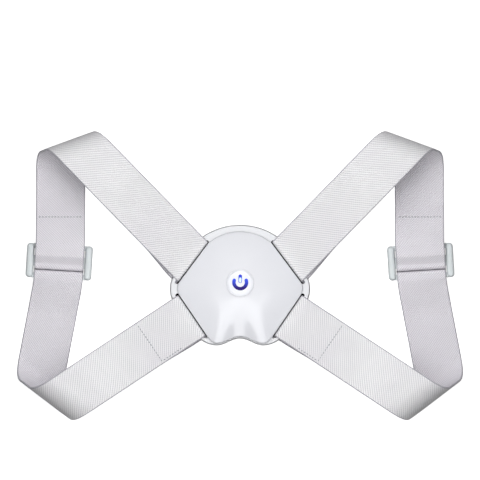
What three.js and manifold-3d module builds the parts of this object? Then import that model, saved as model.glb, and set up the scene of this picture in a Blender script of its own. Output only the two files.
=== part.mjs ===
// A posture corrector for the upper back. A flat plastic pod with a power button sits between the shoulder
// blades, and one loop of elastic webbing on each side goes over the shoulder and back under the arm.
// It lies on its back on a table. +Z is up, +Y points to the wearer's head and +X to the wearer's right
// loop. The origin is the middle of the pod's back face. Lengths are in millimetres, angles in degrees.

import * as THREE from "three";
import { mergeVertices } from "three/addons/utils/BufferGeometryUtils.js";
import Module from "manifold-3d";

const wasm = await Module();
wasm.setup();

// Webbing
const STRAP_WIDTH = 30;
const STRAP_THICKNESS = 1.3;
const PIECE_GAP = 0.3; // between pieces that lie on each other

// Pod: the slots lie on the sides of a rounded diamond
const SLOT_CORNER_X = 37.6; // where the upper and the lower slot nearly meet, at the pod's side
const SLOT_CORNER_Y = -2.1;
const SLOT_SPACING = 6.2; // between the two slots' ends at that side
const UPPER_SLOT_LEAN = 53.2; // from the X axis
const LOWER_SLOT_LEAN = 55.8;
const SLOT_END_CLEARANCE = 0.6; // beside the webbing, to the cover's corners
const SLOT_OVERRUN = 1; // of the opening past the cover's corners
const SLOT_OPEN = 2.2; // across the slot
const BAR_WIDTH = 3.2; // of the bar outside each slot
const PLATE_CROWN = 10.5; // plate's top above the upper slots' ends
const COVER_CROWN = 6.4;
const SIDE_ROUND = 16;
const SHOULDER_ROUND = 3;
const LOBE_X = 14.3;
const LOBE_DROP = 5.8; // lobes' lowest point below the lower slots' ends
const LOBE_ROUND = 17;
const NOTCH_DEPTH = 4.2;
const COVER_INSET = 1.2; // cover's edge inside the plate's edge at the lobes

// Pod: heights above the table
const PLATE_BOTTOM = 6;
const PLATE_THICKNESS = 3;
const PLATE_EDGE = 0.8; // bevel
const FOOT_INSET = 2.4; // of the flat foot's edge inside the plate's edge
const FOOT_EDGE = 0.7; // bevel
const RIM_HEIGHT = 2.8; // of the cover's wall above the plate
const DOME_HEIGHT = 6; // of the cover above its rim
const DOME_POWER = 2.3; // higher is flatter on top and steeper at the rim
const GROOVE_DEPTH = 2.4; // of the hollow from the button down to the notch
const GROOVE_LIFT = 0.45; // share of that depth lost at the cover's edge
const SHELL_WALL = 2;
const COVER_EDGE = 0.8; // rounding of the cover's upper edge
const SIDE_BULGE = 0.6; // of the cover between the upper and the lower slot

// Button
const BUTTON_RADIUS = 8.3;
const BUTTON_EDGE = 0.4; // rounding of its rim, which is level with the cover
const DISH_SLOPE = 1.7; // width of the slope from the rim into the finger dish
const DISH_STEP = 0.9; // depth at the foot of that slope
const DISH_DEPTH = 1.3; // depth at the middle
const BUTTON_Y = 1.3;
const BUTTON_TRAVEL = 0.8;
const FLANGE_WIDTH = 1;
const FLANGE_THICKNESS = 1.2;
const POST_RADIUS = 3; // of the switch post under the button

// Slider: a frame of three bars between two ears
const SLIDER_HEIGHT = 21;
const SLIDER_END_BAR = 3.2;
const SLIDER_SLOT = 3.9;
const SLIDER_BAR_THICKNESS = 2.2;
const SLIDER_SIDE_CLEARANCE = 0.5;
const EAR_WIDTH = 4.6;
const EAR_THICKNESS = 6;
const EAR_ROUND = 2.6;
const SLIDER_TILT = 3.5; // its lower end leans outwards

// Webbing route on the +X side, seen from above: each crease is where the flat webbing would fold over
const TOP_CREASE = new THREE.Vector2(109.4, 97.3);
const BOTTOM_CREASE = new THREE.Vector2(127.2, -82.9);
const SLIDER_DROP = 83; // slider's middle below the top crease
const SLIDER_LEAD = 13; // straight webbing on each side of the slider's middle
const ROUTE_ROUND = 60; // where the webbing turns beside the slider
const TOP_FOLD_HEIGHT = 33; // between the two layers
const TOP_FOLD_ROUND = 13;
const BOTTOM_FOLD_HEIGHT = 44;
const BOTTOM_FOLD_ROUND = 14;
const TOP_FOLD_LEAN = -2; // turns the fold's outermost line towards the pod
const BOTTOM_FOLD_LEAN = 3.6;
const SEWN_LENGTH = 32; // webbing that is turned back round a pod's bar and sewn
const SEWN_PEEK = 0.9; // how far the turned end shows beside the webbing at the bar
const SLIDER_SEWN_LENGTH = 31; // webbing turned back round the slider, from its middle
const SLIDER_RAMP = 26; // webbing that rises from the table to the slider's top bar
const TAIL_LENGTH = 21; // free end of the lower webbing, from the slider's middle

const plateTop = PLATE_BOTTOM + PLATE_THICKNESS;
const rimBottom = plateTop + PIECE_GAP;
const rimTop = plateTop + RIM_HEIGHT;
const layerPitch = STRAP_THICKNESS + PIECE_GAP;
const clearOfBar = PIECE_GAP + STRAP_THICKNESS / 2;
const onTable = STRAP_THICKNESS / 2;
const radians = THREE.MathUtils.degToRad;

const DEEP_STEP = radians(22); // between stations on a tight bend
const LONG_STEP = 14; // between stations on a straight run

// Paths and outlines in the plane

function point(x, y) {
  return new THREE.Vector2(x, y);
}

function along(origin, direction, distance) {
  return origin.clone().addScaledVector(direction, distance);
}

function leftOf(direction) {
  return point(-direction.y, direction.x);
}

// Straight runs joined by arcs. Each corner is [first coordinate, second coordinate, radius].
// Returns samples { at, heading }, closer together on the arcs.
function roundedPath(corners, arcStep = DEEP_STEP, longStep = LONG_STEP) {
  const samples = [];
  const put = (at, heading) => {
    const last = samples.at(-1);
    const run = last ? at.distanceTo(last.at) : 0;
    if (last && run < 1e-6) return;
    const pieces = last && last.heading.dot(heading) > 0.9999 ? Math.ceil(run / longStep) : 1;
    for (let i = 1; i < pieces; i++) {
      samples.push({ at: last.at.clone().lerp(at, i / pieces), heading: heading.clone() });
    }
    samples.push({ at, heading });
  };
  corners.forEach(([a, b, radius = 0], i) => {
    const here = point(a, b);
    const before = i > 0 ? here.clone().sub(point(...corners[i - 1])).normalize() : null;
    const after = i < corners.length - 1 ? point(...corners[i + 1]).sub(here).normalize() : null;
    if (!before || !after || radius === 0) {
      put(here, before ?? after);
      return;
    }
    const turn = Math.atan2(before.cross(after), before.dot(after));
    const start = along(here, before, -radius * Math.tan(Math.abs(turn) / 2));
    const side = Math.sign(turn);
    const centre = along(start, leftOf(before), side * radius);
    const steps = Math.max(1, Math.ceil(Math.abs(turn) / arcStep));
    for (let k = 0; k <= steps; k++) {
      const heading = before.clone().rotateAround(point(0, 0), (turn * k) / steps);
      put(along(centre, leftOf(heading), -side * radius), heading);
    }
  });
  return samples;
}

// Where two lines meet, each given by a point and a direction.
function crossing(p, u, q, v) {
  return along(p, u, q.clone().sub(p).cross(v) / u.cross(v));
}

// Points of an arc that is centred on the Y axis, from its top to the given end.
function crownArc(topY, end, steps) {
  const drop = topY - end.y;
  const radius = (end.x ** 2 + drop ** 2) / (2 * drop);
  const sweep = Math.asin(end.x / radius);
  return Array.from({ length: steps }, (_, i) => {
    const angle = (sweep * i) / steps;
    return point(radius * Math.sin(angle), topY - radius + radius * Math.cos(angle));
  });
}

function mirrored(half) {
  const inner = half.filter((p) => p.x > 1e-6);
  return [...half, ...inner.reverse().map((p) => point(-p.x, p.y))];
}

// The pod's slots: the edge on the cover's side, its ends, and the way out of the pod
function slotLine(lean, upDown, strapFrom) {
  const outerEnd = point(SLOT_CORNER_X, SLOT_CORNER_Y + (upDown * SLOT_SPACING) / 2);
  const inwards = point(-Math.cos(radians(lean)), upDown * Math.sin(radians(lean)));
  const outwards = upDown > 0 ? leftOf(inwards).negate() : leftOf(inwards);
  // The webbing crosses the slot at a slight skew, so the slot is a little longer than the webbing is wide.
  const strapWay = strapFrom.clone().sub(along(outerEnd, inwards, STRAP_WIDTH / 2)).normalize();
  const strapAlong = STRAP_WIDTH / Math.abs(strapWay.cross(inwards));
  const length = strapAlong + 2 * SLOT_END_CLEARANCE;
  return {
    inwards,
    outwards,
    length,
    outerEnd,
    innerEnd: along(outerEnd, inwards, length),
    middle: along(outerEnd, inwards, length / 2),
  };
}

const upperSlot = slotLine(UPPER_SLOT_LEAN, 1, TOP_CREASE);
const lowerSlot = slotLine(LOWER_SLOT_LEAN, -1, BOTTOM_CREASE);
const lobeBottom = lowerSlot.innerEnd.y - LOBE_DROP;

// A clockwise outline moved inwards.
function inset(outline, distance) {
  return outline.map((p, i) => {
    const before = outline.at(i - 1);
    const after = outline[(i + 1) % outline.length];
    return along(p, leftOf(after.clone().sub(before).normalize()), -distance);
  });
}

// Lobes and the notch between them, from the lobe's lowest point to the middle
function notchWave(above, steps = 7) {
  return Array.from({ length: steps + 1 }, (_, i) => {
    const x = LOBE_X * (1 - i / steps);
    const rise = (NOTCH_DEPTH * (1 + Math.cos((Math.PI * x) / LOBE_X))) / 2;
    return point(x, lobeBottom + above + rise);
  });
}

function plateOutline() {
  const bar = SLOT_OPEN + BAR_WIDTH;
  const upperEdge = along(upperSlot.innerEnd, upperSlot.outwards, bar);
  const lowerEdge = along(lowerSlot.innerEnd, lowerSlot.outwards, bar);
  const side = crossing(upperEdge, upperSlot.inwards, lowerEdge, lowerSlot.inwards);
  const lobe = crossing(lowerEdge, lowerSlot.inwards, point(0, lobeBottom), point(1, 0));
  const crown = crownArc(upperSlot.innerEnd.y + PLATE_CROWN, upperEdge, 6);
  const corner = (p, radius) => [p.x, p.y, radius];
  const flank = roundedPath(
    [
      corner(crown.at(-1), 0),
      corner(upperEdge, SHOULDER_ROUND),
      corner(side, SIDE_ROUND),
      corner(lobe, LOBE_ROUND),
      [0.965 * LOBE_X, lobeBottom, 0],
    ],
    radians(14),
    40,
  ).map((sample) => sample.at);
  return mirrored([...crown.slice(0, -1), ...flank.slice(0, -1), ...notchWave(0)]);
}

// The cover fills the diamond between the slots and reaches down to the lobes. Seen from the button,
// each ray crosses the outline once.
function coverOutline() {
  const crown = crownArc(upperSlot.innerEnd.y + COVER_CROWN, upperSlot.innerEnd, 7);
  const sideBulge = point(SLOT_CORNER_X + SIDE_BULGE, SLOT_CORNER_Y);
  const lobeEnd = point(LOBE_X, lobeBottom + COVER_INSET);
  const bend = crossing(lowerSlot.innerEnd, lowerSlot.inwards, lobeEnd, point(1, 0));
  const lobe = new THREE.QuadraticBezierCurve(lowerSlot.innerEnd, bend, lobeEnd).getPoints(6).slice(1, -1);
  const upperEdge = [0, 0.25, 0.5, 0.75, 1].map((t) =>
    upperSlot.innerEnd.clone().lerp(upperSlot.outerEnd, t),
  );
  const lowerEdge = [0, 0.25, 0.5, 0.75, 1].map((t) =>
    lowerSlot.outerEnd.clone().lerp(lowerSlot.innerEnd, t),
  );
  return mirrored([...crown, ...upperEdge, sideBulge, ...lowerEdge, ...lobe, ...notchWave(COVER_INSET)]);
}

// Closed meshes and solids

// A geometry from a list of rings with as many points each, capped at both ends by a middle point.
function ringSolid(rings, firstMiddle, lastMiddle) {
  const count = rings[0].length;
  const vertices = [...rings.flat(), firstMiddle, lastMiddle];
  const first = vertices.length - 2;
  const last = vertices.length - 1;
  const index = [];
  for (let k = 0; k < count; k++) {
    const next = (k + 1) % count;
    index.push(first, next, k);
    const top = (rings.length - 1) * count;
    index.push(last, top + k, top + next);
    for (let ring = 0; ring < rings.length - 1; ring++) {
      const low = ring * count;
      const high = low + count;
      index.push(low + k, low + next, high + next, low + k, high + next, high + k);
    }
  }
  const geometry = new THREE.BufferGeometry().setFromPoints(vertices);
  return geometry.setIndex(index);
}

function toManifold(geometry) {
  const bare = geometry.clone();
  for (const name of Object.keys(bare.attributes)) {
    if (name !== "position") bare.deleteAttribute(name);
  }
  const merged = mergeVertices(bare, 1e-4);
  const triVerts = new Uint32Array(merged.index.array);
  const vertProperties = new Float32Array(merged.attributes.position.array);
  const solid = new wasm.Manifold(new wasm.Mesh({ numProp: 3, vertProperties, triVerts }));
  if (solid.volume() > 0) return solid;
  for (let i = 0; i < triVerts.length; i += 3) {
    [triVerts[i + 1], triVerts[i + 2]] = [triVerts[i + 2], triVerts[i + 1]];
  }
  return new wasm.Manifold(new wasm.Mesh({ numProp: 3, vertProperties, triVerts }));
}

function toGeometry(solid) {
  const mesh = solid.getMesh();
  const geometry = new THREE.BufferGeometry();
  geometry.setAttribute("position", new THREE.BufferAttribute(mesh.vertProperties, 3));
  geometry.setIndex(new THREE.BufferAttribute(mesh.triVerts, 1));
  geometry.computeVertexNormals();
  return geometry;
}

// An outline raised from one height to another, with bevelled edges if asked for.
function plateSolid(outline, bottom, top, edge = 0) {
  const geometry = new THREE.ExtrudeGeometry(new THREE.Shape(outline), {
    depth: top - bottom - 2 * edge,
    bevelEnabled: edge > 0,
    bevelSize: edge,
    bevelThickness: edge,
    bevelOffset: -edge,
    bevelSegments: 2,
  });
  return toManifold(geometry.translate(0, 0, bottom + edge));
}

// A rectangle with rounded corners as outline points. It lies on the line from start in the given
// direction and reaches out to the side.
function roundedBar(start, direction, sideways, length, width, radius) {
  const to = (a, b) => {
    const p = along(along(start, direction, a), sideways, b);
    return [p.x, p.y, radius];
  };
  const loop = [to(length / 2, 0), to(length, 0), to(length, width), to(0, width), to(0, 0), to(length / 2, 0)];
  loop[0][2] = 0;
  loop[5][2] = 0;
  const points = roundedPath(loop, radians(30), 100).map((sample) => sample.at);
  return points.slice(0, -1);
}

// Pod base: a tray on a flat foot against the back, with a plate round it that carries four slots

function tray() {
  const outline = coverOutline();
  const middle = point(0, BUTTON_Y);
  const ring = (share, z) =>
    outline.map((p) => {
      const q = middle.clone().lerp(p, share);
      return new THREE.Vector3(q.x, q.y, z);
    });
  const steps = [
    [0.8, 0],
    [0.885, 0.15 * PLATE_BOTTOM],
    [0.94, 0.43 * PLATE_BOTTOM],
    [0.97, PLATE_BOTTOM],
    [0.97, plateTop - PLATE_EDGE],
  ];
  const rings = steps.map(([share, z]) => ring(share, z));
  const at = (z) => new THREE.Vector3(0, BUTTON_Y, z);
  return toManifold(ringSolid(rings, at(0), at(plateTop - PLATE_EDGE)));
}

// The foot reaches out below the slots.
function foot() {
  const outline = plateOutline();
  const rings = [
    [FOOT_INSET + FOOT_EDGE, 0],
    [FOOT_INSET, FOOT_EDGE],
    [FOOT_INSET, SHELL_WALL],
  ].map(([distance, z]) => inset(outline, distance).map((p) => new THREE.Vector3(p.x, p.y, z)));
  const at = (z) => new THREE.Vector3(0, 0, z);
  return toManifold(ringSolid(rings, at(0), at(SHELL_WALL)));
}

function trayHollow() {
  const outline = coverOutline();
  const middle = point(0, BUTTON_Y);
  const share = 0.91 - (1.3 * SHELL_WALL) / SLOT_CORNER_X; // inside the tray's slanted wall
  const inner = outline.map((p) => middle.clone().lerp(p, share));
  return plateSolid(inner, SHELL_WALL, plateTop + 1);
}

function plate() {
  const outline = plateOutline();
  const rings = [
    [PLATE_EDGE, PLATE_BOTTOM],
    [0, PLATE_BOTTOM + PLATE_EDGE],
    [0, plateTop - PLATE_EDGE],
    [PLATE_EDGE, plateTop],
  ].map(([distance, z]) => inset(outline, distance).map((p) => new THREE.Vector3(p.x, p.y, z)));
  const at = (z) => new THREE.Vector3(0, 0, z);
  return toManifold(ringSolid(rings, at(PLATE_BOTTOM), at(plateTop)));
}

function podBase(buttonBottom) {
  let solid = plate().add(tray()).add(foot());
  for (const slot of [upperSlot, lowerSlot]) {
    for (const side of [1, -1]) {
      const flip = (p) => point(side * p.x, p.y);
      const outline = roundedBar(
        flip(along(slot.outerEnd, slot.inwards, -SLOT_OVERRUN)),
        flip(slot.inwards),
        flip(slot.outwards),
        slot.length + 2 * SLOT_OVERRUN,
        SLOT_OPEN,
        SLOT_OPEN * 0.45,
      );
      solid = solid.subtract(plateSolid(outline, PLATE_BOTTOM - 1, plateTop + 1));
    }
  }
  const postTop = buttonBottom - BUTTON_TRAVEL - PIECE_GAP;
  const post = new THREE.CylinderGeometry(POST_RADIUS, POST_RADIUS, postTop - SHELL_WALL / 2, 20)
    .rotateX(Math.PI / 2)
    .translate(0, BUTTON_Y, (postTop + SHELL_WALL / 2) / 2);
  return solid.subtract(trayHollow()).add(toManifold(post));
}

// Pod cover: a domed shell with a hollow that runs from the button down to the notch

function coverHeight(p, share) {
  const dome = DOME_HEIGHT * (1 - share ** DOME_POWER);
  const down = THREE.MathUtils.smoothstep(BUTTON_Y - BUTTON_RADIUS * 0.6 - p.y, 0, -lobeBottom * 0.9);
  const across = Math.abs(p.x) < LOBE_X ? (1 + Math.cos((Math.PI * p.x) / LOBE_X)) / 2 : 0;
  return rimTop + dome - GROOVE_DEPTH * down * across * (1 - GROOVE_LIFT * share ** 6);
}

const domeTop = coverHeight(point(0, BUTTON_Y), 0);

function podCover() {
  const outline = coverOutline();
  const middle = point(0, BUTTON_Y);
  const ring = (share, height) =>
    outline.map((p) => {
      const q = middle.clone().lerp(p, share);
      return new THREE.Vector3(q.x, q.y, height(q, share));
    });
  const innerShare = 1 - SHELL_WALL / SLOT_CORNER_X;
  const inside = (p, share) => coverHeight(p, share) - SHELL_WALL;
  const rings = [
    ...[0.2, 0.4, 0.6, 0.8].map((share) => ring(share * innerShare, inside)),
    ring(innerShare, (p, share) => Math.max(rimBottom + COVER_EDGE / 4, inside(p, share))),
    ring(innerShare, () => rimBottom),
    ring(1, () => rimBottom),
    ring(1, (p) => coverHeight(p, 1) - COVER_EDGE),
    ring(0.99, (p) => coverHeight(p, 1) - 0.3 * COVER_EDGE),
    ...[0.97, 0.92, 0.82, 0.7, 0.56, 0.42, 0.28, 0.14].map((share) => ring(share, coverHeight)),
  ];
  const at = (z) => new THREE.Vector3(0, BUTTON_Y, z);
  const shell = toManifold(ringSolid(rings, at(domeTop - SHELL_WALL), at(domeTop)));
  const holeRadius = BUTTON_RADIUS + PIECE_GAP;
  const hole = new THREE.CylinderGeometry(holeRadius, holeRadius, 20, 40)
    .rotateX(Math.PI / 2)
    .translate(0, BUTTON_Y, domeTop);
  return shell.subtract(toManifold(hole));
}

// Power button: a cap with a finger dish, and a flange that keeps it under the cover

const buttonTop = coverHeight(point(0, BUTTON_Y - BUTTON_RADIUS), BUTTON_RADIUS / SLOT_CORNER_X);
const flangeTop = buttonTop - SHELL_WALL - 2 * PIECE_GAP;
const buttonBottom = flangeTop - FLANGE_THICKNESS;

function powerButton() {
  const flange = BUTTON_RADIUS + FLANGE_WIDTH;
  const rim = BUTTON_RADIUS - BUTTON_EDGE;
  const foot = rim - DISH_SLOPE;
  const dish = [1, 0.75, 0.5, 0.25].map((share) =>
    point(foot * share, buttonTop - DISH_DEPTH + (DISH_DEPTH - DISH_STEP) * share ** 2),
  );
  const profile = [
    point(0, buttonBottom),
    point(flange, buttonBottom),
    point(flange, flangeTop),
    point(BUTTON_RADIUS, flangeTop),
    point(BUTTON_RADIUS, buttonTop - BUTTON_EDGE),
    point(rim + 0.7 * BUTTON_EDGE, buttonTop - 0.3 * BUTTON_EDGE),
    point(rim, buttonTop),
    point(rim - 0.3 * DISH_SLOPE, buttonTop - 0.22 * DISH_STEP),
    point(rim - 0.7 * DISH_SLOPE, buttonTop - 0.78 * DISH_STEP),
    ...dish,
    point(0, buttonTop - DISH_DEPTH),
  ];
  const cap = new THREE.LatheGeometry(profile, 40).rotateX(Math.PI / 2).translate(0, BUTTON_Y, 0);
  return toManifold(cap);
}

// Slider: bars at one level, ears thicker than the bars

const sliderMiddle = point(
  TOP_CREASE.x + SLIDER_LEAD * Math.sin(radians(SLIDER_TILT)),
  TOP_CREASE.y - SLIDER_DROP,
);
const sliderDown = point(Math.sin(radians(SLIDER_TILT)), -Math.cos(radians(SLIDER_TILT)));
const sliderMidBar = SLIDER_HEIGHT - 2 * (SLIDER_END_BAR + SLIDER_SLOT);
const barBottom = 2 * layerPitch + 0.1;
const barTop = barBottom + SLIDER_BAR_THICKNESS;
const midBarEdge = sliderMidBar / 2;
const endBarEdge = SLIDER_HEIGHT / 2 - SLIDER_END_BAR;

function slider() {
  const innerHalf = STRAP_WIDTH / 2 + SLIDER_SIDE_CLEARANCE;
  const bar = (low, high) => {
    const corner = point(-innerHalf - 1, low);
    const outline = roundedBar(corner, point(1, 0), point(0, 1), 2 * innerHalf + 2, high - low, 0);
    return plateSolid(outline, barBottom, barTop, 0.5);
  };
  const earMiddle = (barBottom + barTop) / 2;
  const ear = (side) => {
    const corner = point(side > 0 ? innerHalf : -innerHalf - EAR_WIDTH, -SLIDER_HEIGHT / 2);
    const outline = roundedBar(corner, point(1, 0), point(0, 1), EAR_WIDTH, SLIDER_HEIGHT, EAR_ROUND * 0.8);
    return plateSolid(outline, earMiddle - EAR_THICKNESS / 2, earMiddle + EAR_THICKNESS / 2, 1.1);
  };
  return bar(-SLIDER_HEIGHT / 2, -endBarEdge)
    .add(bar(-midBarEdge, midBarEdge))
    .add(bar(endBarEdge, SLIDER_HEIGHT / 2))
    .add(ear(1))
    .add(ear(-1));
}

// Webbing: every piece is a row of stations, each with a middle, a line across and a direction of travel

// A leg of the webbing, seen from above, from its crease outwards. Distances are measured along it.
function plan(corners) {
  const samples = roundedPath(corners, radians(2), 1000);
  const lengths = [0];
  for (let i = 1; i < samples.length; i++) {
    lengths.push(lengths[i - 1] + samples[i].at.distanceTo(samples[i - 1].at));
  }
  return {
    length: lengths.at(-1),
    at(distance) {
      let i = lengths.findIndex((reached) => reached > distance);
      if (i < 0) i = lengths.length - 1;
      i = Math.max(i, 1);
      const run = lengths[i] - lengths[i - 1];
      const share = (distance - lengths[i - 1]) / run;
      const heading = samples[i].at.clone().sub(samples[i - 1].at).normalize();
      return { at: along(samples[i - 1].at, heading, share * run), heading };
    },
  };
}

function crossVector(heading, skew) {
  const line = leftOf(heading).rotateAround(point(0, 0), skew);
  return line.multiplyScalar(STRAP_WIDTH / 2 / Math.cos(skew));
}

// Stations of one leg. The profile gives height against distance, and may turn back under itself.
// The lines across turn from one skew at the crease to another at the far end.
function legStations({ route, profile, foldLine, skewAtEnd, foldEnd, skewEnd, peek = () => 0 }) {
  const heading = route.at(0).heading;
  const skewAtFold = skewOf(heading, foldLine);
  const flip = Math.sign(leftOf(heading).dot(foldLine));
  return roundedPath(profile).map(({ at, heading }) => {
    const seen = route.at(at.x);
    const share = THREE.MathUtils.smoothstep(at.x, foldEnd, skewEnd);
    const skew = THREE.MathUtils.lerp(skewAtFold, skewAtEnd, share);
    const across = crossVector(seen.heading, skew).multiplyScalar(flip);
    const middle = along(seen.at, leftOf(seen.heading), peek(at, heading));
    return {
      middle: new THREE.Vector3(middle.x, middle.y, at.y),
      across: new THREE.Vector3(across.x, across.y, 0),
      travel: new THREE.Vector3(seen.heading.x * heading.x, seen.heading.y * heading.x, heading.y),
    };
  });
}

// A fold lies between an upper leg and a lower leg that leave the crease in the directions up and down.
function fold(crease, up, down, height, radius, lean = 0) {
  const line = up.clone().negate().add(down).normalize(); // along the crease
  const out = up.clone().add(down).normalize().negate(); // away from the legs
  const slant = Math.acos(Math.abs(up.dot(line))); // between webbing and crease
  const turn = radians(lean) * Math.sign(out.cross(line));
  const halfArc = height / 2 - radius + (Math.PI * radius) / 2;
  const start = -halfArc - 0.5;
  const peak = radius - halfArc;
  const samples = roundedPath([
    [start, onTable + height],
    [peak, onTable + height, radius],
    [peak, onTable, radius],
    [start, onTable],
  ]);
  let arc = start;
  const stations = samples.map(({ at, heading }, i) => {
    if (i > 0) {
      // An arc is longer than its chord.
      const before = samples[i - 1];
      const turn = before.heading.angleTo(heading);
      const chord = at.distanceTo(before.at);
      arc += turn > 1e-6 ? (chord * (turn / 2)) / Math.sin(turn / 2) : chord;
    }
    const middle = along(along(crease, line, arc / Math.tan(slant)), out, at.x);
    const across = line
      .clone()
      .multiplyScalar(STRAP_WIDTH / 2 / Math.sin(slant))
      .rotateAround(point(0, 0), turn * heading.y ** 2);
    const shift = 1 / Math.tan(slant);
    const travel = new THREE.Vector3(
      line.x * shift + out.x * heading.x,
      line.y * shift + out.y * heading.x,
      heading.y,
    );
    return {
      middle: new THREE.Vector3(middle.x, middle.y, at.y),
      across: new THREE.Vector3(across.x, across.y, 0),
      travel: travel.normalize(),
    };
  });
  return { stations, line, end: -start / Math.sin(slant) };
}

// The flat band that follows the stations: four long edges and two ends.
function band(allStations) {
  const stations = allStations.filter(
    ({ middle }, i) => i === 0 || middle.distanceTo(allStations[i - 1].middle) > 0.01,
  );
  const corners = stations.map(({ middle, across, travel }) => {
    const normal = across.clone().cross(travel).normalize().multiplyScalar(STRAP_THICKNESS / 2);
    const corner = (side, face) =>
      middle.clone().addScaledVector(across, side).addScaledVector(normal, face);
    return [corner(1, 1), corner(-1, 1), corner(-1, -1), corner(1, -1)];
  });
  return toManifold(ringSolid(corners, stations[0].middle, stations.at(-1).middle));
}

// Signed angle of the line across against the square-on line, on a leg that leaves its crease.
function skewOf(heading, line) {
  const square = leftOf(heading);
  const reach = line.dot(square) < 0 ? line.clone().negate() : line;
  return Math.atan2(square.cross(reach), square.dot(reach));
}

// The upper or lower webbing from the pod's bar up to its fold. It ends turned back under the bar.
function podLeg(crease, slot, height, foldLeg) {
  const heading = slot.middle.clone().sub(crease);
  const length = heading.length();
  heading.normalize();
  const skewAtEnd = skewOf(heading, slot.inwards);
  const stretch = 1 / Math.cos(skewAtEnd);
  const barInner = length - SLOT_OPEN * stretch;
  const barOuter = barInner - BAR_WIDTH * stretch;
  const overBar = plateTop + clearOfBar;
  const underBar = PLATE_BOTTOM - clearOfBar;
  const rampStart = foldLeg.end + 22;
  const slope = (onTable + height - overBar) / (barOuter - rampStart);
  const rampHeight = (a) => overBar + slope * (barOuter - a);
  const sewnEnd = length - SEWN_LENGTH;
  const joined = sewnEnd + 8;
  const profile = [
    [foldLeg.end, onTable + height],
    [rampStart, onTable + height, 50],
    [barOuter, overBar, 12],
    [barInner + clearOfBar, overBar, 1.3],
    [barInner + clearOfBar, underBar, 1.3],
    [barOuter - 3, underBar, 6],
    [joined, rampHeight(joined) - layerPitch / Math.cos(Math.atan(slope)), 14],
    [sewnEnd, rampHeight(sewnEnd) - layerPitch / Math.cos(Math.atan(slope))],
  ];
  const peek = (at, travel) => {
    const turned = THREE.MathUtils.smoothstep(overBar - at.y, 0, overBar - underBar);
    const under = travel.x < 0 ? THREE.MathUtils.smoothstep(at.x, sewnEnd, barOuter) : turned;
    return SEWN_PEEK * under * Math.sign(leftOf(heading).y) * -1;
  };
  const route = plan([[crease.x, crease.y], [slot.middle.x, slot.middle.y]]);
  return { route, profile, skewAtEnd, skewEnd: sewnEnd - 4, peek };
}

// The webbing of one side's shoulder: pod, top fold, slider's middle bar
function upperStrap() {
  const toPod = upperSlot.middle.clone().sub(TOP_CREASE).normalize();
  const kink = along(sliderMiddle, sliderDown, -SLIDER_LEAD);
  const toSlider = kink.clone().sub(TOP_CREASE).normalize();
  const top = fold(
    TOP_CREASE,
    toPod,
    toSlider,
    TOP_FOLD_HEIGHT,
    TOP_FOLD_ROUND,
    TOP_FOLD_LEAN,
  );
  const front = podLeg(TOP_CREASE, upperSlot, TOP_FOLD_HEIGHT, top);
  const frontStations = legStations({
    ...front,
    foldLine: top.line,
    foldEnd: top.end,
  });
  const end = along(sliderMiddle, sliderDown, SLIDER_LEAD);
  const route = plan([[TOP_CREASE.x, TOP_CREASE.y], [kink.x, kink.y, ROUTE_ROUND], [end.x, end.y]]);
  const s = route.length - SLIDER_LEAD; // slider's middle
  const overAll = barTop + 3 * layerPitch - STRAP_THICKNESS / 2;
  const overMid = barTop + clearOfBar;
  const rampTop = s - SLIDER_HEIGHT / 2 - 1;
  const floorEnd = rampTop - SLIDER_RAMP;
  const slope = (overAll - onTable) / SLIDER_RAMP;
  const underFront = layerPitch / Math.cos(Math.atan(slope));
  const turnedEnd = s - SLIDER_SEWN_LENGTH;
  const back = legStations({
    route,
    profile: [
      [top.end, onTable],
      [floorEnd, onTable, 30],
      [rampTop, overAll, 7],
      [s - midBarEdge, overAll, 2.4],
      [s + 1.2, overMid, 2.4],
      [s + midBarEdge + clearOfBar, overMid, 1.3],
      [s + midBarEdge + clearOfBar, barBottom - clearOfBar, 1.3],
      [s - midBarEdge - clearOfBar, barBottom - clearOfBar, 1.3],
      [s - midBarEdge - clearOfBar, overAll - layerPitch, 1.6],
      [rampTop + 0.35, overAll - layerPitch, 5.4],
      [turnedEnd, onTable + slope * (turnedEnd - floorEnd) - underFront],
    ],
    foldLine: top.line,
    skewAtEnd: 0,
    foldEnd: top.end,
    skewEnd: floorEnd,
  });
  return band([...frontStations.reverse().map(turnRound), ...top.stations, ...back]);
}

function turnRound(station) {
  return { ...station, travel: station.travel.clone().negate() };
}

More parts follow.
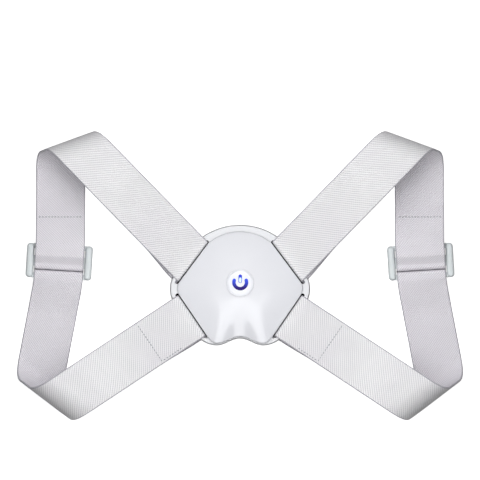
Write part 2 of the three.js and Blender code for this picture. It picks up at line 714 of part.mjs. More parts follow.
// The webbing of one side's underarm: pod, bottom fold, slider, free tail
function lowerStrap() {
  const toPod = lowerSlot.middle.clone().sub(BOTTOM_CREASE).normalize();
  const kink = along(sliderMiddle, sliderDown, SLIDER_LEAD);
  const toSlider = kink.clone().sub(BOTTOM_CREASE).normalize();
  const bottom = fold(
    BOTTOM_CREASE,
    toPod,
    toSlider,
    BOTTOM_FOLD_HEIGHT,
    BOTTOM_FOLD_ROUND,
    BOTTOM_FOLD_LEAN,
  );
  const front = podLeg(BOTTOM_CREASE, lowerSlot, BOTTOM_FOLD_HEIGHT, bottom);
  const frontStations = legStations({
    ...front,
    foldLine: bottom.line,
    foldEnd: bottom.end,
  });
  const upperKink = along(sliderMiddle, sliderDown, -SLIDER_LEAD);
  const tailWay = TOP_CREASE.clone().sub(upperKink).normalize();
  const end = along(upperKink, tailWay, TAIL_LENGTH - SLIDER_LEAD);
  const route = plan([
    [BOTTOM_CREASE.x, BOTTOM_CREASE.y],
    [kink.x, kink.y, ROUTE_ROUND],
    [upperKink.x, upperKink.y, ROUTE_ROUND],
    [end.x, end.y],
  ]);
  const s = route.length - TAIL_LENGTH;
  const overBar = barTop + clearOfBar;
  const underMid = barBottom - clearOfBar - layerPitch;
  const floorEnd = s - SLIDER_HEIGHT / 2 - 19;
  const tailSlope = (overBar + 2 * layerPitch - onTable) / SLIDER_RAMP;
  const inSlot = endBarEdge - clearOfBar;
  const rampTop = s + SLIDER_HEIGHT / 2 + 0.3;
  const back = legStations({
    route,
    profile: [
      [bottom.end, onTable],
      [floorEnd, onTable, 30],
      [s - SLIDER_HEIGHT / 2 - 0.5, overBar, 5],
      [s - inSlot, overBar, 1.3],
      [s - inSlot, underMid, 2.6],
      [s + inSlot, underMid, 2.6],
      [s + inSlot, overBar, 1.3],
      [rampTop, overBar, 3.8],
      [s + TAIL_LENGTH, overBar - tailSlope * (s + TAIL_LENGTH - rampTop)],
    ],
    foldLine: bottom.line,
    skewAtEnd: 0,
    foldEnd: bottom.end,
    skewEnd: floorEnd,
  });
  return band([...frontStations.reverse().map(turnRound), ...bottom.stations, ...back]);
}

// Materials

const webbing = new THREE.MeshStandardMaterial({ color: 0xe4e2e6, roughness: 0.85, metalness: 0 });
const glossWhite = new THREE.MeshStandardMaterial({ color: 0xeeeff3, roughness: 0.18, metalness: 0 });
const satinWhite = new THREE.MeshStandardMaterial({ color: 0xe9eaed, roughness: 0.35, metalness: 0 });
const buttonWhite = new THREE.MeshStandardMaterial({ color: 0xf6f8fc, roughness: 0.1, metalness: 0 });
const buckleGrey = new THREE.MeshStandardMaterial({ color: 0xdfe4e5, roughness: 0.4, metalness: 0 });

// Assembly

const corrector = new THREE.Group();

function addPiece(parent, name, solid, material) {
  const mesh = new THREE.Mesh(toGeometry(solid), material);
  mesh.name = name;
  parent.add(mesh);
  return mesh;
}

addPiece(corrector, "pod_base", podBase(buttonBottom), satinWhite);
addPiece(corrector, "pod_cover", podCover(), glossWhite);
addPiece(corrector, "power_button", powerButton(), buttonWhite);

for (const [sideName, sideSign] of [["right", 1], ["left", -1]]) {
  const loop = new THREE.Group();
  loop.scale.x = sideSign; // the left loop mirrors the right one
  addPiece(loop, "shoulder_strap_" + sideName, upperStrap(), webbing);
  addPiece(loop, "underarm_strap_" + sideName, lowerStrap(), webbing);
  const buckle = addPiece(loop, "slider_" + sideName, slider(), buckleGrey);
  buckle.position.set(sliderMiddle.x, sliderMiddle.y, 0);
  buckle.rotation.z = radians(SLIDER_TILT);
  corrector.add(loop);
}

export default corrector;
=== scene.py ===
# %% [markdown]
# # A posture corrector for the upper back
# The real object is a flat white plastic pod with a power button, and one loop of pale elastic webbing on
# each side. It lies on a table and is seen from straight above. The solids come first and stay as they
# are: they give every size and place. This lesson then makes the pieces that are seen. They are surfaces
# worked out with numpy, because a formula gives smooth domes and folds, and stays in step with the solids.

# %% Load the solids
import bmesh
import bpy
import numpy as np
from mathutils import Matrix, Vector


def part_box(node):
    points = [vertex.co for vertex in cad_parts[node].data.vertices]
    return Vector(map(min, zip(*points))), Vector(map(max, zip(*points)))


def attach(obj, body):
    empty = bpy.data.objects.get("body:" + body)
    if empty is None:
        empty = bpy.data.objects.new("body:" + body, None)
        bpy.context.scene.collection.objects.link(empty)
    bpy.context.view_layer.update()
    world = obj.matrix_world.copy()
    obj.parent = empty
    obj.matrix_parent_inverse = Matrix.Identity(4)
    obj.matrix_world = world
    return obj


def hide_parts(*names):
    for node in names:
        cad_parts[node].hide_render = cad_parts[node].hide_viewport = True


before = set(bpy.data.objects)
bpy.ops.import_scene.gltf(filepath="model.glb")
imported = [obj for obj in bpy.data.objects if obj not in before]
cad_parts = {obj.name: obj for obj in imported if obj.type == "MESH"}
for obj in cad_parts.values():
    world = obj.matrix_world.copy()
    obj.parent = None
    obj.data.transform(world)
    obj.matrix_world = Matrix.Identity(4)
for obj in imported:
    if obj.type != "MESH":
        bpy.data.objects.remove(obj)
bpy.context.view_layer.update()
MM = 0.001
PIXEL = 0.61  # mm on the table for one pixel of a 480 pixel picture
print("solids:", sorted(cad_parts))

# %% [markdown]
# ## Shapes seen from above
# Most of this object is drawn on the table first, and heights come later. A point on the table is one
# complex number here, x + y * 1j. Multiplying by 1j turns a direction a quarter turn to the left, and a
# division gives the turn between two directions. This keeps the formulas short.

# %% Points and directions on the table
def unit(way):
    """The same direction, one long."""
    return way / abs(way)

def dot(a, b):
    """Length times length times the cosine of the angle between a and b."""
    return (np.conj(a) * b).real

def cross(a, b):
    """Length times length times the sine of the angle from a to b."""
    return (np.conj(a) * b).imag

def tilted(degrees):
    """The direction at an angle from the X axis."""
    return np.exp(1j * np.radians(degrees))

def ease(value, low, high):
    """Rises from 0 at low to 1 at high, level at both: 3 t squared - 2 t cubed."""
    t = np.clip((value - low) / (high - low), 0, 1)
    return t * t * (3 - 2 * t)

def meeting(p, u, q, v):
    """Where the line through p along u meets the line through q along v."""
    return p + u * cross(q - p, v) / cross(u, v)

# %% [markdown]
# ## Paths with rounded corners
# Webbing runs straight, turns round a bar and runs on. Such a path is a row of straight runs and arcs.
# One formula covers both: a run of length d that turns by an angle t ends at a distance of
# d * sin(t / 2) / (t / 2), in the direction that lies half of the turn on.

# %% Rounded paths
def rounded(corners):
    """The runs of a path from corners (point, radius): each one's start, first heading, bend and the
    distance up to it. An arc starts radius * tan(turn / 2) before its corner and is radius * turn long."""
    at = np.array([complex(p) for p, _ in corners])
    radius = np.array([float(r) for _, r in corners[1:-1]])
    steps = np.diff(at)
    turn = np.angle(steps[1:] / steps[:-1])
    cut = radius * np.tan(abs(turn) / 2)
    count = 2 * len(steps) - 1
    length, first, bend = np.zeros(count), np.zeros(count), np.zeros(count)
    length[0::2] = abs(steps) - np.append(0, cut) - np.append(cut, 0)
    length[1::2] = radius * abs(turn)
    first[0::2], first[1::2] = np.angle(steps), np.angle(steps[:-1])
    bend[1::2] = np.sign(turn) / np.maximum(radius, 1e-6)
    chord = length * np.sinc(bend * length / 2 / np.pi) * np.exp(1j * (first + bend * length / 2))
    start = at[0] + np.append(0, np.cumsum(chord)[:-1])
    return start, first, bend, np.append(0, np.cumsum(length))

def follow(path, distance):
    """The points and headings at distances along a path, by the formula above: start + d * sinc * heading."""
    start, first, bend, reached = path
    k = np.clip(np.searchsorted(reached, distance, "right") - 1, 0, len(first) - 1)
    gone = distance - reached[k]
    half = bend[k] * gone / 2
    return start[k] + gone * np.sinc(half / np.pi) * np.exp(1j * (first[k] + half)), first[k] + 2 * half

def stops(path, step=1.2, turn=8):
    """Distances along a path: a step apart when straight, and at most turn degrees apart in a bend."""
    _, _, bend, reached = path
    length = np.diff(reached)
    count = np.ceil(np.maximum(length / step, abs(bend) * length / np.radians(turn))).astype(int)
    runs = [
        np.linspace(a, b, n, endpoint=False) for a, b, n in zip(reached[:-1], reached[1:], count) if b > a
    ]
    return np.append(np.concatenate(runs), reached[-1])

arc = rounded([(0, 0), (10, 4), (10 + 10j, 0)])
print("a corner of radius 4 shortens 20 mm to", round(arc[3][-1], 2), "mm, in", len(stops(arc)), "points")

# %% [markdown]
# ## From a grid of points to a mesh
# Every piece here is a grid: its rows follow the piece, and its columns run round it. The helper joins
# neighbours into four-sided faces, closes the ends, and turns the faces outwards. A grid may bring a map,
# which says where each point lies on the flat material. Cloth needs it, so that its weave follows the bends.

# %% Grids to meshes
def piece(name, grids, material, loop=False, maps=None):
    """One mesh from grids of points (rows, columns, 3) in mm. Columns always close round the piece.
    loop joins the last row to the first; without it each end is closed by one face. maps gives each grid
    its places on the flat material, with one more column, because the last and the first column meet."""
    points, faces, spots, first = [], [], [], 0
    for k, grid in enumerate(grids):
        rows, columns = grid.shape[:2]
        number = np.arange(rows * columns).reshape(rows, columns)
        number = np.c_[number, number[:, 0]]
        number = np.r_[number, number[:1]] if loop else number
        spot = np.arange(number.size).reshape(number.shape)
        quads = np.stack([spot[:-1, :-1], spot[:-1, 1:], spot[1:, 1:], spot[1:, :-1]], -1)
        quads = quads.reshape(-1, 4).tolist()
        if not loop:
            quads += [spot[0, :-1][::-1].tolist(), spot[-1, :-1].tolist()]
        number = number.ravel() + first
        faces += [number[q].tolist() for q in quads]
        if maps:
            spots += [uv for q in quads for uv in maps[k].reshape(-1, 2)[q]]
        points.append(grid.reshape(-1, 3))
        first += rows * columns
    mesh = bpy.data.meshes.new(name)
    mesh.from_pydata((np.concatenate(points) * MM).tolist(), [], faces)
    if maps:
        mesh.uv_layers.new(name="cloth").uv.foreach_set("vector", np.array(spots, np.float32).ravel())
    shell = bmesh.new()
    shell.from_mesh(mesh)
    bmesh.ops.recalc_face_normals(shell, faces=shell.faces)
    shell.to_mesh(mesh)
    shell.free()
    mesh.polygons.foreach_set("use_smooth", np.ones(len(mesh.polygons), bool))
    mesh.materials.append(material)
    made = bpy.data.objects.new(name, mesh)
    bpy.context.scene.collection.objects.link(made)
    print(name, "has", len(mesh.polygons), "faces")
    return made

# %% [markdown]
# ## Colours and shader nodes
# Colours are noted as sRGB hex values, as a colour picker shows them. Blender's shaders count light, so
# each value is turned to linear first. A second helper adds one node with its settings and links, and two
# more set the stops of a colour ramp and start a material.

# %% Colour and node helpers
def linear(hex_colour):
    """sRGB hex to linear: about a thirteenth of small values, and a power of 2.4 above them."""
    part = np.array([int(hex_colour[i : i + 2], 16) for i in (1, 3, 5)]) / 255
    return (*np.where(part <= 0.04045, part / 12.92, ((part + 0.055) / 1.055) ** 2.4), 1.0)

def add(tree, kind, inputs=None, **settings):
    """Adds a node. Each input is a value, or the socket that feeds it."""
    made = tree.nodes.new("ShaderNode" + kind)
    for name, value in settings.items():
        setattr(made, name, value)
    for name, value in (inputs or {}).items():
        if isinstance(value, bpy.types.NodeSocket):
            tree.links.new(value, made.inputs[name])
        else:
            made.inputs[name].default_value = value
    return made

def ramp(node, *stops):
    """Sets the stops of a colour ramp from (position, hex colour) pairs."""
    elements = node.color_ramp.elements
    while len(elements) < len(stops):
        elements.new(1.0)
    for element, (position, colour) in zip(elements, stops):
        element.position = position
        element.color = linear(colour)

def new_material(name, **sockets):
    """A material with one Principled shader, and plain values on the shader's own sockets."""
    material = bpy.data.materials.new(name)
    material.use_nodes = True
    shader = material.node_tree.nodes["Principled BSDF"]
    for socket, value in sockets.items():
        shader.inputs[socket.replace("_", " ")].default_value = value
    return material, material.node_tree, shader

print("mid grey #808080 is", round(float(linear("#808080")[0]), 3), "in light")

# %% [markdown]
# ## The webbing's material
# The straps are a woven elastic of polyester over rubber threads. Its front shows fine diagonal ribs, and
# its back a smaller diagonal grain in a slightly pinker grey. Its two plain edges are painted darker: painted
# shade on the strap's thickness. The pattern could be an image, but waves on the strap's own map stay sharp
# and follow each bend. The map holds metres along and round the strap: the front first, then an edge, the back and
# the other edge.

# %% Polyester and elastane webbing
STRAP_WIDTH = 30
STRAP_THICKNESS = 1.3
EDGE_ROUND = STRAP_THICKNESS / 2
FACE_WIDTH = STRAP_WIDTH - 2 * EDGE_ROUND
EDGE_LENGTH = np.pi * EDGE_ROUND
RIB_PITCH = 1.35  # between the ribs of the front
RIB_ANGLE = 50  # from the strap's length
GRAIN_PITCH = 1.1  # of the back; the real grain of about 0.6 mm would be too fine to show
WEAR_SIZE, BLUSH_SIZE = 16.7, 45.5  # of the patches that are worn, and of those that took more dye
WEAR = 0.04  # how far wear shifts the weave's tone

# Woven polyester has no clear highlight: it is matt, with a soft sheen where it turns away from the eye.
webbing, tree, shader = new_material(
    "woven_polyester_elastane", Roughness=0.82, Sheen_Weight=0.25, Sheen_Roughness=0.5, IOR=1.5
)
place = add(tree, "UVMap", uv_map="cloth")
split = add(tree, "SeparateXYZ", {0: place.outputs["UV"]})
back_from = (FACE_WIDTH + EDGE_LENGTH / 2) * MM
is_back = add(tree, "Math", {0: split.outputs["Y"], 1: back_from}, operation="GREATER_THAN")
in_turn = add(tree, "Math", {0: split.outputs["Y"], 1: (FACE_WIDTH + EDGE_LENGTH) * MM}, operation="MODULO")
# Marks the edges, which are painted darker below as painted shade on the strap's thickness.
edge_shade_mask = add(tree, "Math", {0: in_turn.outputs[0], 1: FACE_WIDTH * MM}, operation="GREATER_THAN")

def waves(angle, pitch):
    """A wave across lines at an angle from the strap's length: 0.5 + 0.5 sin(2 pi distance / pitch)."""
    turned = add(tree, "Mapping", {"Vector": place.outputs["UV"], "Rotation": (0, 0, np.radians(angle))})
    across = add(tree, "SeparateXYZ", {0: turned.outputs[0]})
    phase = add(tree, "Math", {0: across.outputs["Y"], 1: 2 * np.pi / (pitch * MM)}, operation="MULTIPLY")
    wave = add(tree, "Math", {0: phase.outputs[0]}, operation="SINE")
    return add(tree, "MapRange", {"Value": wave.outputs[0], "From Min": -1.0}).outputs[0]

rib = waves(RIB_ANGLE, RIB_PITCH)
loop = waves(RIB_ANGLE - 90, 0.9 * RIB_PITCH)
front = add(tree, "Mix", {0: 0.24, 2: rib, 3: loop}).outputs[0]
grain_up, grain_down = waves(45, GRAIN_PITCH), waves(-45, GRAIN_PITCH)
back = add(tree, "Mix", {0: 0.25, 2: grain_up, 3: grain_down}).outputs[0]
weave = add(tree, "Mix", {0: is_back.outputs[0], 2: front, 3: back}).outputs[0]
cloud = add(tree, "TexNoise", {"Vector": place.outputs["UV"], "Scale": 1 / (WEAR_SIZE * MM), "Detail": 3.0})
worn = add(tree, "MapRange", {
    "Value": cloud.outputs["Fac"], "From Min": 0.3, "From Max": 0.7, "To Min": -WEAR, "To Max": WEAR
})
thread = add(tree, "Math", {0: weave, 1: worn.outputs[0]}, operation="ADD")
# The ramp is darker at the weave's low places and lighter on its ribs: partly the weave's pattern, partly painted
# shade in the gaps between ribs and grains. The wear noise shifts it too.
colour = add(tree, "ValToRGB", {0: thread.outputs[0]})
ramp(colour, (0.0, "#CBCACE"), (0.7, "#ECECED"))
patches = add(tree, "TexNoise", {"Vector": place.outputs["UV"], "Scale": 1 / (BLUSH_SIZE * MM), "Detail": 1.0})
blush = add(tree, "MapRange", {"Value": patches.outputs["Fac"], "From Min": 0.4, "From Max": 0.65, "To Max": 0.4})
dyed = add(tree, "Math", {0: is_back.outputs[0], 1: blush.outputs[0]}, operation="MAXIMUM")
tinted = add(tree, "Mix", {
    0: dyed.outputs[0], 6: colour.outputs[0], 7: linear("#FAF7FC")
}, data_type="RGBA", blend_type="MULTIPLY")
# Painted shade: the two edges are mixed to a darker grey.
yarn_and_edge_shade = add(tree, "Mix", {0: edge_shade_mask.outputs[0], 6: tinted.outputs[2], 7: linear("#B4B2BA")}, data_type="RGBA")
bump = add(tree, "Bump", {"Height": weave, "Distance": 0.25 * MM, "Strength": 0.7})
tree.links.new(yarn_and_edge_shade.outputs[2], shader.inputs["Base Color"])
tree.links.new(bump.outputs[0], shader.inputs["Normal"])
print("ribs", RIB_PITCH, "mm apart are", round(RIB_PITCH / PIXEL, 1), "pixels apart in the picture")

# %% [markdown]
# ## The pod's slots
# Four slots carry the webbing. They lie on the sides of a rounded diamond, so one function makes the upper
# and the lower one, and the left side mirrors the right side.

# %% Slots
BUTTON_AT = 1.3j
SLOT_CORNER = 37.6 - 2.1j  # the diamond's corner, between the two slots of the right side
SLOT_SPACING = 6.2  # between their outer ends
SLOT_OPEN = 2.2
SLOT_END_CLEARANCE = 0.6
UPPER_LEAN, LOWER_LEAN = 53.2, 55.8  # degrees between a slot and the X axis
BAR_WIDTH = 3.2  # of the bar outside each slot, which holds the webbing
TOP_CREASE = 109.4 + 97.3j  # the middle of the fold at the shoulder
BOTTOM_CREASE = 127.2 - 82.9j  # and of the fold under the arm

def slot_line(lean, up, crease):
    """A slot's outer and inner end, its middle, its direction inwards and its way out of the pod."""
    outer = SLOT_CORNER + 1j * up * SLOT_SPACING / 2
    inwards = complex(-np.cos(np.radians(lean)), up * np.sin(np.radians(lean)))
    strap_way = unit(crease - outer - inwards * STRAP_WIDTH / 2)
    length = STRAP_WIDTH / abs(cross(strap_way, inwards)) + 2 * SLOT_END_CLEARANCE
    return {
        "outer": outer, "middle": outer + inwards * length / 2, "inner": outer + inwards * length,
        "inwards": inwards, "outwards": -1j * up * inwards, "length": length,
    }

upper_slot = slot_line(UPPER_LEAN, 1, TOP_CREASE)
lower_slot = slot_line(LOWER_LEAN, -1, BOTTOM_CREASE)
print("slots are", round(upper_slot["length"], 1), "and", round(lower_slot["length"], 1), "mm long")

# %% [markdown]
# ## The webbing's route
# Flat webbing can bend, but it can't stretch sideways, so it stays a ruled surface: each line across it
# stays straight. The route is a row of stations, each with a middle, a line across and a direction of
# travel. On a leg, a plan seen from above gives the place and a profile seen from the side the height.
# At a fold, all lines across lie along the fold, whatever the angle at which the webbing arrives.

# %% Stations of a leg and of a fold
PIECE_GAP = 0.3  # between pieces that lie on each other
PLATE_BOTTOM, PLATE_TOP = 6, 9
ON_TABLE = STRAP_THICKNESS / 2
CLEAR_OF_BAR = PIECE_GAP + STRAP_THICKNESS / 2
LAYER_PITCH = STRAP_THICKNESS + PIECE_GAP
TIGHT_BEND = 1.3  # the radius of the webbing's middle where it turns round a bar

def stations(middle, height, across, travel_plan, travel_up):
    """Stacks plan values and heights into points and vectors (n, 3), with travel made one long."""
    spread = lambda plan, up: np.stack([plan.real, plan.imag, up + 0 * plan.real], -1)
    travel = spread(travel_plan, travel_up)
    return np.stack([spread(middle, height), spread(across, 0.0), travel / np.linalg.norm(travel, axis=1)[:, None]])

def skew_of(heading, line):
    """The angle between a line across and the line that is square to the strap."""
    square = 1j * heading
    line = -line if dot(line, square) < 0 else line
    return np.angle(line / square)

def leg(corners, profile, fold_line, fold_end, skew_end, skew_at_end, peek=None):
    """A leg that leaves its fold. corners give its plan, and profile its (distance, height, radius).
    The lines across turn smoothly from the fold's line to skew_at_end, between the distances fold_end and
    skew_end. Half the line across = width / 2 / cos(skew). peek may shift stations sideways."""
    plan = rounded(corners)
    heading = unit(corners[1][0] - corners[0][0])
    side = rounded([(complex(a, h), r) for a, h, r in profile])
    at, slope = follow(side, stops(side))
    seen, angle = follow(plan, at.real)
    way = np.exp(1j * angle)
    skew_at_fold = skew_of(heading, fold_line)
    skew = skew_at_fold + (skew_at_end - skew_at_fold) * ease(at.real, fold_end, skew_end)
    flip = np.sign(dot(1j * heading, fold_line))
    across = flip * 1j * way * np.exp(1j * skew) * STRAP_WIDTH / 2 / np.cos(skew)
    shift = peek(at, np.cos(slope)) if peek else 0
    return stations(seen + 1j * way * shift, at.imag, across, way * np.cos(slope), np.sin(slope))

def fold(crease, up, down, height, radius, lean):
    """A fold between an upper leg that leaves in the direction up and a lower leg in the direction down.
    Seen along the fold it is two arcs and a short wall; each station slides along it by distance / tan(slant)."""
    line, out = unit(down - up), -unit(up + down)
    slant = np.arccos(abs(dot(up, line)))
    turn = np.radians(lean) * np.sign(cross(out, line))
    half_arc = height / 2 - radius + np.pi * radius / 2
    start, peak = -half_arc - 0.5, radius - half_arc  # half a mm of each leg belongs to the fold
    side = rounded([
        (complex(start, ON_TABLE + height), 0), (complex(peak, ON_TABLE + height), radius),
        (complex(peak, ON_TABLE), radius), (complex(start, ON_TABLE), 0),
    ])
    gone = stops(side, turn=4)
    at, slope = follow(side, gone)
    middle = crease + line * (start + gone) / np.tan(slant) + out * at.real
    across = line * STRAP_WIDTH / 2 / np.sin(slant) * np.exp(1j * turn * np.sin(slope) ** 2)
    rows = stations(middle, at.imag, across, line / np.tan(slant) + out * np.cos(slope), np.sin(slope))
    return rows, line, -start / np.sin(slant)

def turned_round(rows):
    """The same stations in the other order, so travel points the other way."""
    rows = rows[:, ::-1].copy()
    rows[2] *= -1
    return rows

# %% [markdown]
# Each strap ends at the pod in the same way: down through its slot, round the bar and back under itself,
# where it is sewn. Sewn webbing never lies quite in line, so the turned end shows a little at one side.

# %% The webbing at the pod
TOP_FOLD, BOTTOM_FOLD = (33, 13, -2), (44, 14, 3.6)  # height and radius in mm, and a lean in degrees
LEVEL_RUN = 22  # after a fold, before the webbing falls to the pod
SEWN_LENGTH = 32
UPPER_PEEK, LOWER_PEEK = 1.6, 0.9  # how far the turned end shows beside the strap

def pod_leg(crease, slot, height, fold_line, fold_end, sewn_peek):
    """The leg from a fold at the given height to the sewn end under the strap. A layer below the falling
    strap lies lower by layer pitch / cos(slope)."""
    length, heading = abs(slot["middle"] - crease), unit(slot["middle"] - crease)
    skew = skew_of(heading, slot["inwards"])
    bar_inner = length - SLOT_OPEN / np.cos(skew)
    bar_outer = bar_inner - BAR_WIDTH / np.cos(skew)
    over, under = PLATE_TOP + CLEAR_OF_BAR, PLATE_BOTTOM - CLEAR_OF_BAR
    ramp_start, sewn_end = fold_end + LEVEL_RUN, length - SEWN_LENGTH
    slope = (ON_TABLE + height - over) / (bar_outer - ramp_start)
    layer = lambda a: over + slope * (bar_outer - a) - LAYER_PITCH / np.cos(np.arctan(slope))
    profile = [
        (fold_end, ON_TABLE + height, 0), (ramp_start, ON_TABLE + height, 50), (bar_outer, over, 12),
        (bar_inner + CLEAR_OF_BAR, over, TIGHT_BEND), (bar_inner + CLEAR_OF_BAR, under, TIGHT_BEND),
        (bar_outer - 3, under, 6), (sewn_end + 8, layer(sewn_end + 8), 14), (sewn_end, layer(sewn_end), 0),
    ]

    def peek(at, forward):
        """The sideways shift: it grows in the slot, and fades from the bar to the sewn end."""
        turned = ease(over - at.imag, (over - under) / 2, over - under)
        below = np.where(forward < 0, ease(at.real, sewn_end, bar_outer), turned)
        return -sewn_peek * below * np.sign((1j * heading).imag)

    corners = [(crease, 0), (slot["middle"], 0)]
    return leg(corners, profile, fold_line, fold_end, sewn_end - 4, skew, peek)

# %% [markdown]
# ## The webbing at the slider
# The slider has three bars. The shoulder strap is sewn round the middle one. The underarm strap comes up
# from below: over the lowest bar, under the middle one, over the top one, and ends in a free tail.

# %% Shoulder strap and underarm strap
SLIDER_TILT = 3.5  # degrees
SLIDER_LEAD = 13  # the straps run straight this far from its middle
SLIDER_DROP = 83  # below the shoulder's fold
SLIDER_HEIGHT, END_BAR, SLIDER_SLOT, BAR_THICKNESS = 21, 3.2, 3.9, 2.2
slider_down = tilted(SLIDER_TILT - 90)
slider_middle = TOP_CREASE - 1j * SLIDER_DROP + SLIDER_LEAD * np.sin(np.radians(SLIDER_TILT))
BAR_BOTTOM = 2 * LAYER_PITCH + 0.1
BAR_TOP = BAR_BOTTOM + BAR_THICKNESS
MID_BAR_EDGE = SLIDER_HEIGHT / 2 - END_BAR - SLIDER_SLOT
END_BAR_EDGE = SLIDER_HEIGHT / 2 - END_BAR
SLIDER_RAMP = 26  # over this length the webbing climbs from the table to the slider
TAIL_LENGTH, SLIDER_SEWN_LENGTH, ROUTE_ROUND = 21, 31, 60
LONG_BEND = 30  # where the webbing leaves the table

def shoulder_strap():
    """Stations from the sewn end at the pod, over the shoulder's fold, to the sewn end at the slider."""
    kink = slider_middle - slider_down * SLIDER_LEAD
    to_pod, to_slider = unit(upper_slot["middle"] - TOP_CREASE), unit(kink - TOP_CREASE)
    top, line, fold_end = fold(TOP_CREASE, to_pod, to_slider, *TOP_FOLD)
    front = pod_leg(TOP_CREASE, upper_slot, TOP_FOLD[0], line, fold_end, UPPER_PEEK)
    corners = [(TOP_CREASE, 0), (kink, ROUTE_ROUND), (slider_middle + slider_down * SLIDER_LEAD, 0)]
    s = rounded(corners)[3][-1] - SLIDER_LEAD
    over_all, over_mid = BAR_TOP + 3 * LAYER_PITCH - STRAP_THICKNESS / 2, BAR_TOP + CLEAR_OF_BAR
    ramp_top = s - SLIDER_HEIGHT / 2 - 1
    floor_end = ramp_top - SLIDER_RAMP
    slope = (over_all - ON_TABLE) / SLIDER_RAMP
    turned_end = s - SLIDER_SEWN_LENGTH
    turned_height = ON_TABLE + slope * (turned_end - floor_end) - LAYER_PITCH / np.cos(np.arctan(slope))
    below_mid, turned_over = BAR_BOTTOM - CLEAR_OF_BAR, over_all - LAYER_PITCH
    near, far = s - MID_BAR_EDGE - CLEAR_OF_BAR, s + MID_BAR_EDGE + CLEAR_OF_BAR
    profile = [
        (fold_end, ON_TABLE, 0), (floor_end, ON_TABLE, LONG_BEND), (ramp_top, over_all, 7),
        (s - MID_BAR_EDGE, over_all, 2.4), (s + 1.2, over_mid, 2.4), (far, over_mid, TIGHT_BEND),
        (far, below_mid, TIGHT_BEND), (near, below_mid, TIGHT_BEND), (near, turned_over, 1.6),
        (ramp_top + 0.35, turned_over, 5.4), (turned_end, turned_height, 0),
    ]
    return [turned_round(front), top, leg(corners, profile, line, fold_end, floor_end, 0)]

def underarm_strap():
    """Stations from the sewn end at the pod, over the fold under the arm, to the tail past the slider."""
    kink, upper_kink = slider_middle + slider_down * SLIDER_LEAD, slider_middle - slider_down * SLIDER_LEAD
    to_pod, to_slider = unit(lower_slot["middle"] - BOTTOM_CREASE), unit(kink - BOTTOM_CREASE)
    bottom, line, fold_end = fold(BOTTOM_CREASE, to_pod, to_slider, *BOTTOM_FOLD)
    front = pod_leg(BOTTOM_CREASE, lower_slot, BOTTOM_FOLD[0], line, fold_end, LOWER_PEEK)
    tail = upper_kink + unit(TOP_CREASE - upper_kink) * (TAIL_LENGTH - SLIDER_LEAD)
    corners = [(BOTTOM_CREASE, 0), (kink, ROUTE_ROUND), (upper_kink, ROUTE_ROUND), (tail, 0)]
    s = rounded(corners)[3][-1] - TAIL_LENGTH
    over, under = BAR_TOP + CLEAR_OF_BAR, BAR_BOTTOM - CLEAR_OF_BAR - LAYER_PITCH
    floor_end = s - SLIDER_HEIGHT / 2 - 19
    in_slot = END_BAR_EDGE - CLEAR_OF_BAR
    ramp_top = s + SLIDER_HEIGHT / 2 + 0.3
    tail_slope = (over + 2 * LAYER_PITCH - ON_TABLE) / SLIDER_RAMP
    tail_height = over - tail_slope * (s + TAIL_LENGTH - ramp_top)
    profile = [
        (fold_end, ON_TABLE, 0), (floor_end, ON_TABLE, LONG_BEND), (s - SLIDER_HEIGHT / 2 - 0.5, over, 5),
        (s - in_slot, over, TIGHT_BEND), (s - in_slot, under, 2 * TIGHT_BEND),
        (s + in_slot, under, 2 * TIGHT_BEND), (s + in_slot, over, TIGHT_BEND),
        (ramp_top, over, 3.8), (s + TAIL_LENGTH, tail_height, 0),
    ]
    return [turned_round(front), bottom, leg(corners, profile, line, fold_end, floor_end, 0)]

# %% [markdown]
# ## From stations to a strap
# The strap's section is a flat band with round edges. It is carried along the stations. Its map holds the
# distance along the strap and the distance round the section. On a skewed line across, a point also lies
# a little further along, by its place across times the slope of that line.

# %% Strap meshes
FACE_POINTS, EDGE_POINTS = 26, 5  # of the section, on a face and round an edge
LEAST_STEP = 0.02

def front_of(rows):
    """The unit normal of each station, on the strap's front: travel x across."""
    normal = np.cross(rows[2], rows[1])
    return normal / np.linalg.norm(normal, axis=1)[:, None]

def joined(parts):
    """One row of stations, without those that lie less than LEAST_STEP after the one before.
    The lines across are turned so that the front is on top between the pod and the fold."""
    rows = np.concatenate(parts, axis=1)
    step = np.linalg.norm(np.diff(rows[0], axis=0), axis=1)
    rows = rows[:, np.append(True, step > LEAST_STEP)]
    rows[1] *= np.sign(front_of(rows)[rows.shape[1] // 3, 2])
    return rows

def distances(middle):
    """How far along the strap each station lies: the sum of the steps before it."""
    return np.append(0, np.cumsum(np.linalg.norm(np.diff(middle, axis=0), axis=1)))

def strap_grid(rows):
    """Points = middle + across * (x / half width) + normal * n, where (x, n) runs round the section: the
    front, a half circle, the back and a half circle. Second comes the map of the cloth."""
    x = np.linspace(-FACE_WIDTH / 2, FACE_WIDTH / 2, FACE_POINTS)
    bow = np.linspace(np.pi / 2, -np.pi / 2, EDGE_POINTS + 2)[1:-1]
    edge_x, edge_n = FACE_WIDTH / 2 + EDGE_ROUND * np.cos(bow), EDGE_ROUND * np.sin(bow)
    x = np.concatenate([x, edge_x, x[::-1], -edge_x[::-1]])
    face_n = np.full(FACE_POINTS, EDGE_ROUND)
    n = np.concatenate([face_n, edge_n, -face_n, edge_n[::-1]])
    middle, across, travel = rows
    grid = middle[:, None] + across[:, None] * (x / (STRAP_WIDTH / 2))[:, None]
    grid = grid + front_of(rows)[:, None] * n[:, None]
    slide = np.sum(across * travel, axis=1) / (STRAP_WIDTH / 2)
    round_section = np.append(0, np.cumsum(np.hypot(np.diff(x, append=x[0]), np.diff(n, append=n[0]))))
    u = distances(middle)[:, None] + slide[:, None] * np.append(x, x[0])
    return grid, np.stack([u, round_section + 0 * u], -1) * MM

